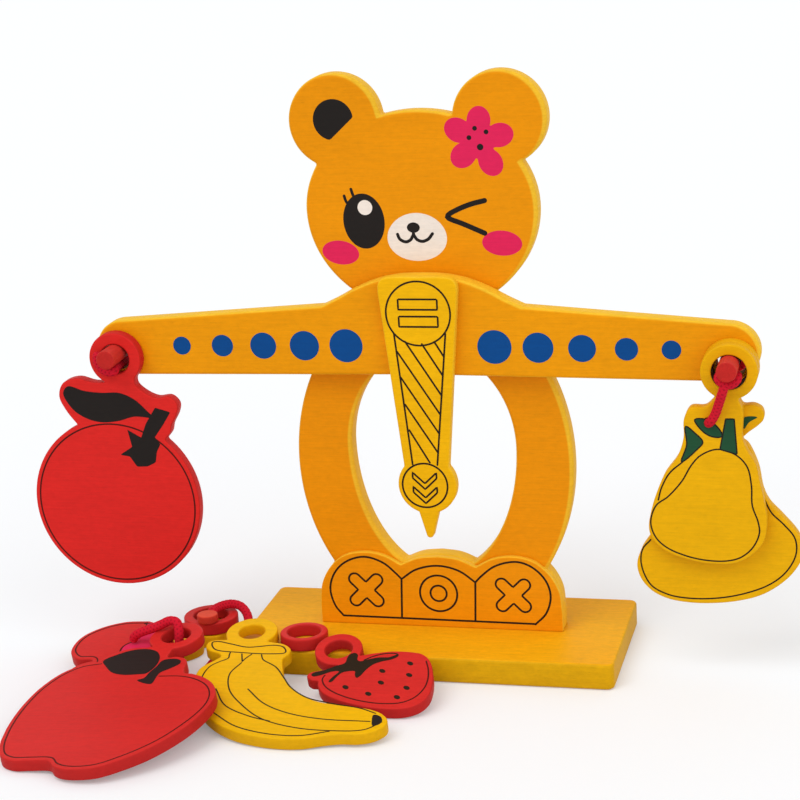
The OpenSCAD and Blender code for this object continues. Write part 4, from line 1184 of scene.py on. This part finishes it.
# %% Prints on the banana
banana_line_w = 0.62
bar = [(-49, 76), (-47, 77), (-40, 75.4), (-32, 73.5), (-20, 76), (-16, 74.8), (-14, 70.5), (-20, 69),
       (-34, 69), (-46, 70.5)]
banana_lines = [
    [(-38.5, 69), (-38.3, 66.5), (-38, 64), (-41.5, 60.5), (-44, 57), (-45, 50), (-43.5, 42), (-40, 34),
     (-36, 27.5), (-31, 22)],
    [(-33, 68), (-32, 65), (-31, 62)], [(-28.5, 68), (-30, 65), (-31, 62)],
    [(-24, 68), (-23.2, 66), (-22, 64), (-15, 59), (-9, 51), (-4, 44), (5, 37), (15, 34), (30, 31), (37, 28)],
    [(-31, 61), (-33.5, 52), (-30, 40), (-22, 30), (-10, 20), (5, 15), (20, 14), (35, 16), (41, 22)],
    [(-36, 40), (-28, 28), (-15, 21), (-6, 18.5)],
    [(-22, 41), (-12, 31), (0, 25), (15, 22), (36, 22)],
    [(-31, 22), (-20, 14), (-10, 10.5), (0, 9), (10, 9.5), (21, 13.5)]]
dark_ink, black_ink = inks_for(banana_place, "dark", "black")
banana_marks = [line(l, fruit_t, banana_ring, banana_line_w) for l in banana_lines]
banana_marks.append(line(bar, fruit_t, banana_ring, fruit_line_w, True))
printed("banana_lines", "loose_banana", banana_place, banana_marks, dark_ink)
banana_tip = [(36.5, 27), (39.5, 26), (41, 23), (40.5, 20.5), (38, 19), (36.8, 22)]
printed("banana_tip", "loose_banana", banana_place, [solid(banana_tip, fruit_t, banana_ring)], black_ink)

# %% Prints on the strawberry and the peach
strawberry_line = [(3.8, 35.4), (5.8, 30), (6.9, 23.3), (6.3, 17.5), (3.3, 11.7), (-1.7, 8.3), (-9.2, 7.2),
                   (-18, 8), (-26.7, 10.4), (-33.3, 13.7), (-37, 17), (-38.7, 20.8), (-38.2, 23.3)]
seeds = [(-2.9, 33.5), (-13.9, 27.8), (-1.7, 26), (-12.8, 20.3), (-1.1, 17.8), (-27.4, 16.3),
         (-16.6, 12.8), (-3.9, 11.6)]
calyx = [(-31.2, 35.5), (-30.4, 37.8), (-28.6, 38.7), (-27, 37.6), (-26.4, 34.2), (-25, 33.4), (-21.5, 35),
         (-17.5, 36.4), (-13, 36.9), (-10.6, 38.4), (-9.4, 39.4), (-9.1, 37.8), (-11.5, 35.6),
         (-15.5, 33.9), (-18.7, 31.8), (-21, 28.3), (-22.7, 24), (-24, 22.5), (-25.2, 24.3), (-25.8, 26.8),
         (-28.5, 26.6), (-31.2, 25.4), (-33, 22.2), (-34.3, 19.2), (-35.6, 19), (-34.8, 22), (-32.6, 26.2),
         (-35.8, 25.8), (-40, 23.2), (-43.2, 22.1), (-44.3, 23.2), (-43.4, 24.6), (-39.4, 26.5),
         (-35, 29.5), (-31.4, 31.8)]
calyx_edge = [(-23.4, 34.3), (-20, 37), (-16, 38.9), (-12, 39.6), (-10, 39.4)]
crease = [(-15, -11), (-6, -16), (-2, -24), (-5, -32), (-3, -40), (0, -46)]
dark_ink, brown_ink = inks_for(strawberry_place, "dark", "brown")
inner_line = line(strawberry_line, fruit_t, strawberry_ring, fruit_line_w)
printed("strawberry_line", "loose_strawberry", strawberry_place, [inner_line], brown_ink)
printed("strawberry_seeds", "loose_strawberry", strawberry_place,
        [fill(relative(bean(x, y, 1.65, 1.1, -35), *strawberry_ring), fruit_t) for x, y in seeds], dark_ink)
calyx_marks = [solid(calyx, fruit_t, strawberry_ring, layer=1),
               line(calyx_edge, fruit_t, strawberry_ring, 0.6, layer=1)]
printed("strawberry_calyx", "loose_strawberry", strawberry_place, calyx_marks, dark_ink)
blush_ink, brown_ink = inks_for(peach_place, "pink", "brown")
blush = [(-2.4, -24), (-5, -32), (-3.2, -40), (-0.5, -46), (-10.5, -43), (-18, -37.2), (-21.8, -30),
         (-21.8, -22), (-18.5, -15), (-13, -12), (-6.5, -16)]
printed("peach_blush", "loose_peach", peach_place, [solid(blush, fruit_t, (0, 0))], blush_ink)
peach_rim = line(inset(peach_shape, 2.2)[8:-8], fruit_t, width=fruit_line_w, curved=False, layer=1)
printed("peach_crease", "loose_peach", peach_place, [line(crease, fruit_t, layer=1), peach_rim], brown_ink)

# %% [markdown]
# ## Cords
#
# The cords are soft braided cotton, about four millimetres thick. A braid is two sets of strands that wind in
# opposite directions, so its height is the larger of two waves that run round and along the tube. A twisted
# bundle of curves would look the same from here at many times the faces. Each cord follows the points
# that the construction gives it.
# %% Braided tubes
cord_gap, pile_gap, off_axis = 0.35, 0.4, (0.6, 0.7, 0.4)


def along(route, gap):
    """Even points on the smooth curve through a route."""
    return evenly(smooth(route, closed=False), gap, closed=False)


def carried_frames(path):
    """Two directions across the path, each carried on from the last less its part along the path."""
    t = np.gradient(path, axis=0)
    t /= np.linalg.norm(t, axis=1, keepdims=True)
    across = np.cross(t[0], off_axis)
    sides = []
    for heading in t:
        across = across - (across @ heading) * heading
        across /= np.linalg.norm(across)
        sides.append(across)
    u = np.array(sides)
    return u, np.cross(t, u)


def braided(path, diameter, strands=4, pitch=7.0, count=28, depth=0.09):
    """Radius times one less a little of the braid's waves: the larger of two cosines, one wound each way."""
    u, v = carried_frames(path)
    way = np.r_[0, np.cumsum(np.linalg.norm(np.diff(path, axis=0), axis=1))][:, None]
    a = np.linspace(0, 2 * np.pi, count, endpoint=False)[None]
    turn = 2 * np.pi * way / pitch
    wave = np.maximum(np.cos(strands * (a + turn)), np.cos(strands * (a - turn)))
    crown = 0.5 + 0.5 * wave
    end = np.clip(np.minimum(way, way[-1] - way) / (diameter * 0.35), 0, 1)
    r = diameter / 2 * (1 - depth + depth * crown) * np.sqrt(1 - (1 - end) ** 2 * 0.75)
    outwards = np.cos(a)[..., None] * u[:, None] + np.sin(a)[..., None] * v[:, None]
    rows = path[:, None] + r[..., None] * outwards
    quads = wall(rows, 0, True)
    n = len(path) * count
    points = np.vstack([rows.reshape(-1, 3), path[:1], path[-1:]])
    ring = np.arange(count)
    tips = np.vstack([np.stack([np.roll(ring, -1), ring, np.full(count, n)], 1),
                      np.stack([n - count + ring, n - count + np.roll(ring, -1), np.full(count, n + 1)], 1)])
    return points * MM, [quads, tips], np.r_[crown.reshape(-1), 0.5, 0.5]


short_cord_d, pile_cord_d = 4.0, 4.2
left_route = [(-145.5, -17.6, 141.5), (-146, -17.6, 137.5), (-144.4, -17.6, 134.2), (-141.4, -17.4, 132.4),
              (-139, -16.8, 132.5), (-139, -14.5, 133.3), (-139, -10, 133.5), (-139, -4, 133.5),
              (-139, 2, 133.5)]
left_path = along(left_route, cord_gap)
points, faces, edge = braided(left_path, short_cord_d)
piece("left_stick_cord", "balance_beam", points, faces, edge, cord_finish, ["left_cord"], flat_last=False)

# %% Cord on the right stick
pear_face = depth_of("front_pear")[0]
loop_route = [(3.6, 2, -4.2), (3.9, -2, -4.4), (3.7, -4.4, -5), (2.1, -5.2, -6.4), (0, -5.4, -6.9),
              (-2.2, -5.2, -6.3), (-3.9, -4.4, -4.9), (-4.2, -2, -4.3), (-4, 2, -4.2)]
loop_cord_d = 3.4
drop_route = [(129.8, -5.2, 132.6), (129, -5.4, 129.8), (127.3, -3.6, 124.4), (125.6, -2.5, 119.4),
              (123.9, -2.1, 116.3), (122.7, -0.8, 114.9), (122.5, 2, 114.5), (122.5, 4.5, 114.5)]


def bundled(tubes):
    """Several tubes in one mesh: each tube's face numbers go up by the points before it."""
    starts = np.cumsum([0] + [len(p) for p, _, _ in tubes[:-1]])
    groups = [g + s for (_, faces, _), s in zip(tubes, starts) for g in faces]
    return np.vstack([p for p, _, _ in tubes]), groups, np.concatenate([e for _, _, e in tubes])


loop_path = along(np.array(loop_route) + [right_stick[0], pear_face, right_stick[1]], cord_gap)
drop_path = along(np.array(drop_route) + [0, pear_face, 0], cord_gap)
points, faces, edge = bundled([braided(loop_path, loop_cord_d), braided(drop_path, short_cord_d)])
piece("right_stick_cord", "hung_front_pear", points, faces, edge, cord_finish, ["right_cord"],
      flat_last=False)

# %% Knots behind the sticks
knots = {"left_cord_knot": ((-139.0, 3.0, 131.9), 1.35, 1.9),
         "right_cord_knot": ((131.3, 5.8, 132.7), 2.4, 3.9)}
knot_width, knot_pitch = 0.62, 4


def trefoil(middle, size, count=160):
    """A trefoil: the path winds three times round while it goes twice about its middle."""
    t = np.linspace(0, 2 * np.pi, count)
    x = np.sin(t) + 2 * np.sin(2 * t)
    z = np.cos(t) - 2 * np.cos(2 * t)
    return np.stack([x * size * knot_width, -np.sin(3 * t) * size, z * size * knot_width], 1) + middle


for name, (middle, size, thick) in knots.items():
    points, faces, edge = braided(trefoil(middle, size)[2:-2], thick, pitch=knot_pitch)
    piece(name, "balance_beam", points, faces, edge, cord_finish, flat_last=False)

# %% Cord in the pile
pile_route = [
    (-132.5, -39, 13.4), (-132.2, -39.2, 15.8), (-129.4, -39.6, 18), (-124.5, -39.5, 19.9),
    (-119, -39, 22.2), (-114.5, -38.8, 24.2), (-111.3, -39.4, 23.8), (-110, -41, 20.6), (-110, -42, 15),
    (-110, -43.5, 8), (-110, -47, 3.5), (-109.5, -53, 2.1), (-106, -58, 2.1), (-101, -58, 2.1),
    (-98.5, -52, 2.1), (-98.5, -44, 2.1), (-98.5, -36, 2.1), (-98, -28, 2.1), (-96, -20, 2.1),
    (-94, -12, 2.1), (-92.8, -5, 2.8), (-92.2, 0.5, 6), (-93.6, 4.6, 10.2), (-97.2, 7.2, 13.2),
    (-101.8, 7.8, 14.1), (-105.8, 5.6, 14), (-108.2, 1.6, 13.7), (-108.5, -2.8, 13.7)]
pile_path = along(pile_route, pile_gap)
points, faces, edge = braided(pile_path, pile_cord_d)
pile_cord = piece("cord_in_pile", "loose_apple", points, faces, edge, cord_finish, ["pile_cord"],
                  flat_last=False)

# %% Button on the cord
button_paint = painted("button_paint", *paint_colours["button"], streak=1.5)
button_place = Place((*button_at, far_place.origin[2] + fruit_t + board_gap), turned())
points, faces, edge = board(oval(0, 0, button_r, button_r), button_t, 0.7)
button = piece("cord_button_wood", "loose_apple", button_place.world(points), faces, edge, button_paint,
               ["cord_button"])
(pile_path[0] * MM).tolist()
(pile_path * MM).tolist()

# %% [markdown]
# ## Steel
#
# The screws and washers are zinc-plated steel, and most of each is hidden. They could be built again with
# threads, but nobody would see them, so the meshes of the construction stay and only get their metal.
# %% Steel pieces
for node in ("base_screws", "pivot_screw", "pivot_washers"):
    screw = frame["nodes"][node]
    screw.data.materials.clear()
    screw.data.materials.append(steel_finish)
print("steel on the screws and washers")

# %% [markdown]
# ## Studio
#
# The photograph has a white background with a soft shadow. The world lights the object evenly, two wide
# suns give it a direction, and the floor adds a little light of its own for the camera alone, so that it
# turns white away from the object but keeps the shadow. Suns reach the far floor as strongly as the near one,
# which a lamp beside the object wouldn't.
# %% Floor
floor_glow, floor_half, floor_z, paper_colour = 0.22, 9.0, -0.0002, (0.735, 0.752, 0.77, 1)
white = (1, 1, 1, 1)


def seen(nodes):
    """1 on rays from the camera and on those that gloss or glass sends on, 0 on the others."""
    kinds = ("Camera", "Glossy", "Transmission")
    camera_ray, gloss, through = (nodes.add("ShaderNodeLightPath", out="Is %s Ray" % kind) for kind in kinds)
    return (camera_ray + gloss + through).between(0, 1)


def floor():
    """A pale floor: a little white of its own, for those rays alone, is added to what the lamps give it."""
    mesh = bpy.data.meshes.new("floor")
    corners = [(x * floor_half, y * floor_half, floor_z) for x, y in ((-1, -1), (1, -1), (1, 1), (-1, 1))]
    mesh.from_pydata(corners, [], [(0, 1, 2, 3)])
    obj = bpy.data.objects.new("floor", mesh)
    bpy.context.collection.objects.link(obj)
    finish = Finish("pale_floor")
    glow = finish.add("ShaderNodeEmission", inputs={"Color": white, "Strength": seen(finish) * floor_glow})
    paper = finish.add("ShaderNodeBsdfDiffuse", inputs={"Color": paper_colour})
    both = finish.add("ShaderNodeAddShader", inputs={0: paper, 1: glow})
    finish.feed(finish.tree.nodes["Material Output"].inputs["Surface"], both)
    mesh.materials.append(finish.material)


floor()
print("floor laid,", 2 * floor_half, "m wide")

# %% World and suns
world_strength = 0.72
suns = [("key", (-0.6, -0.9, 1.5), 40, 0.9), ("fill", (1.1, -0.9, 0.8), 50, 0.6)]


def world(strength):
    """Even light for the object, and white where the camera, a mirror or glass looks."""
    studio = bpy.data.worlds.new("studio")
    studio.use_nodes = True
    bpy.context.scene.world = studio
    nodes, background = Nodes(studio.node_tree), studio.node_tree.nodes["Background"]
    nodes.feed(background.inputs["Strength"], seen(nodes) * (1 - strength) + strength)
    background.inputs["Color"].default_value = white


def sun(name, towards, spread, strength):
    """Even light from one side of the sky: a wide spread, in degrees, makes its shadows soft."""
    data = bpy.data.lights.new(name, "SUN")
    data.angle, data.energy = math.radians(spread), strength
    obj = bpy.data.objects.new(name, data)
    bpy.context.collection.objects.link(obj)
    back = np.array(towards) / np.linalg.norm(towards)
    side = np.cross([0, 0, 1], back)
    side /= np.linalg.norm(side)
    obj.matrix_world = Matrix(np.stack([side, np.cross(back, side), back], 1).tolist()).to_4x4()


world(world_strength)
for settings in suns:
    sun(*settings)
print("studio lit by the world and", len(suns), "suns")
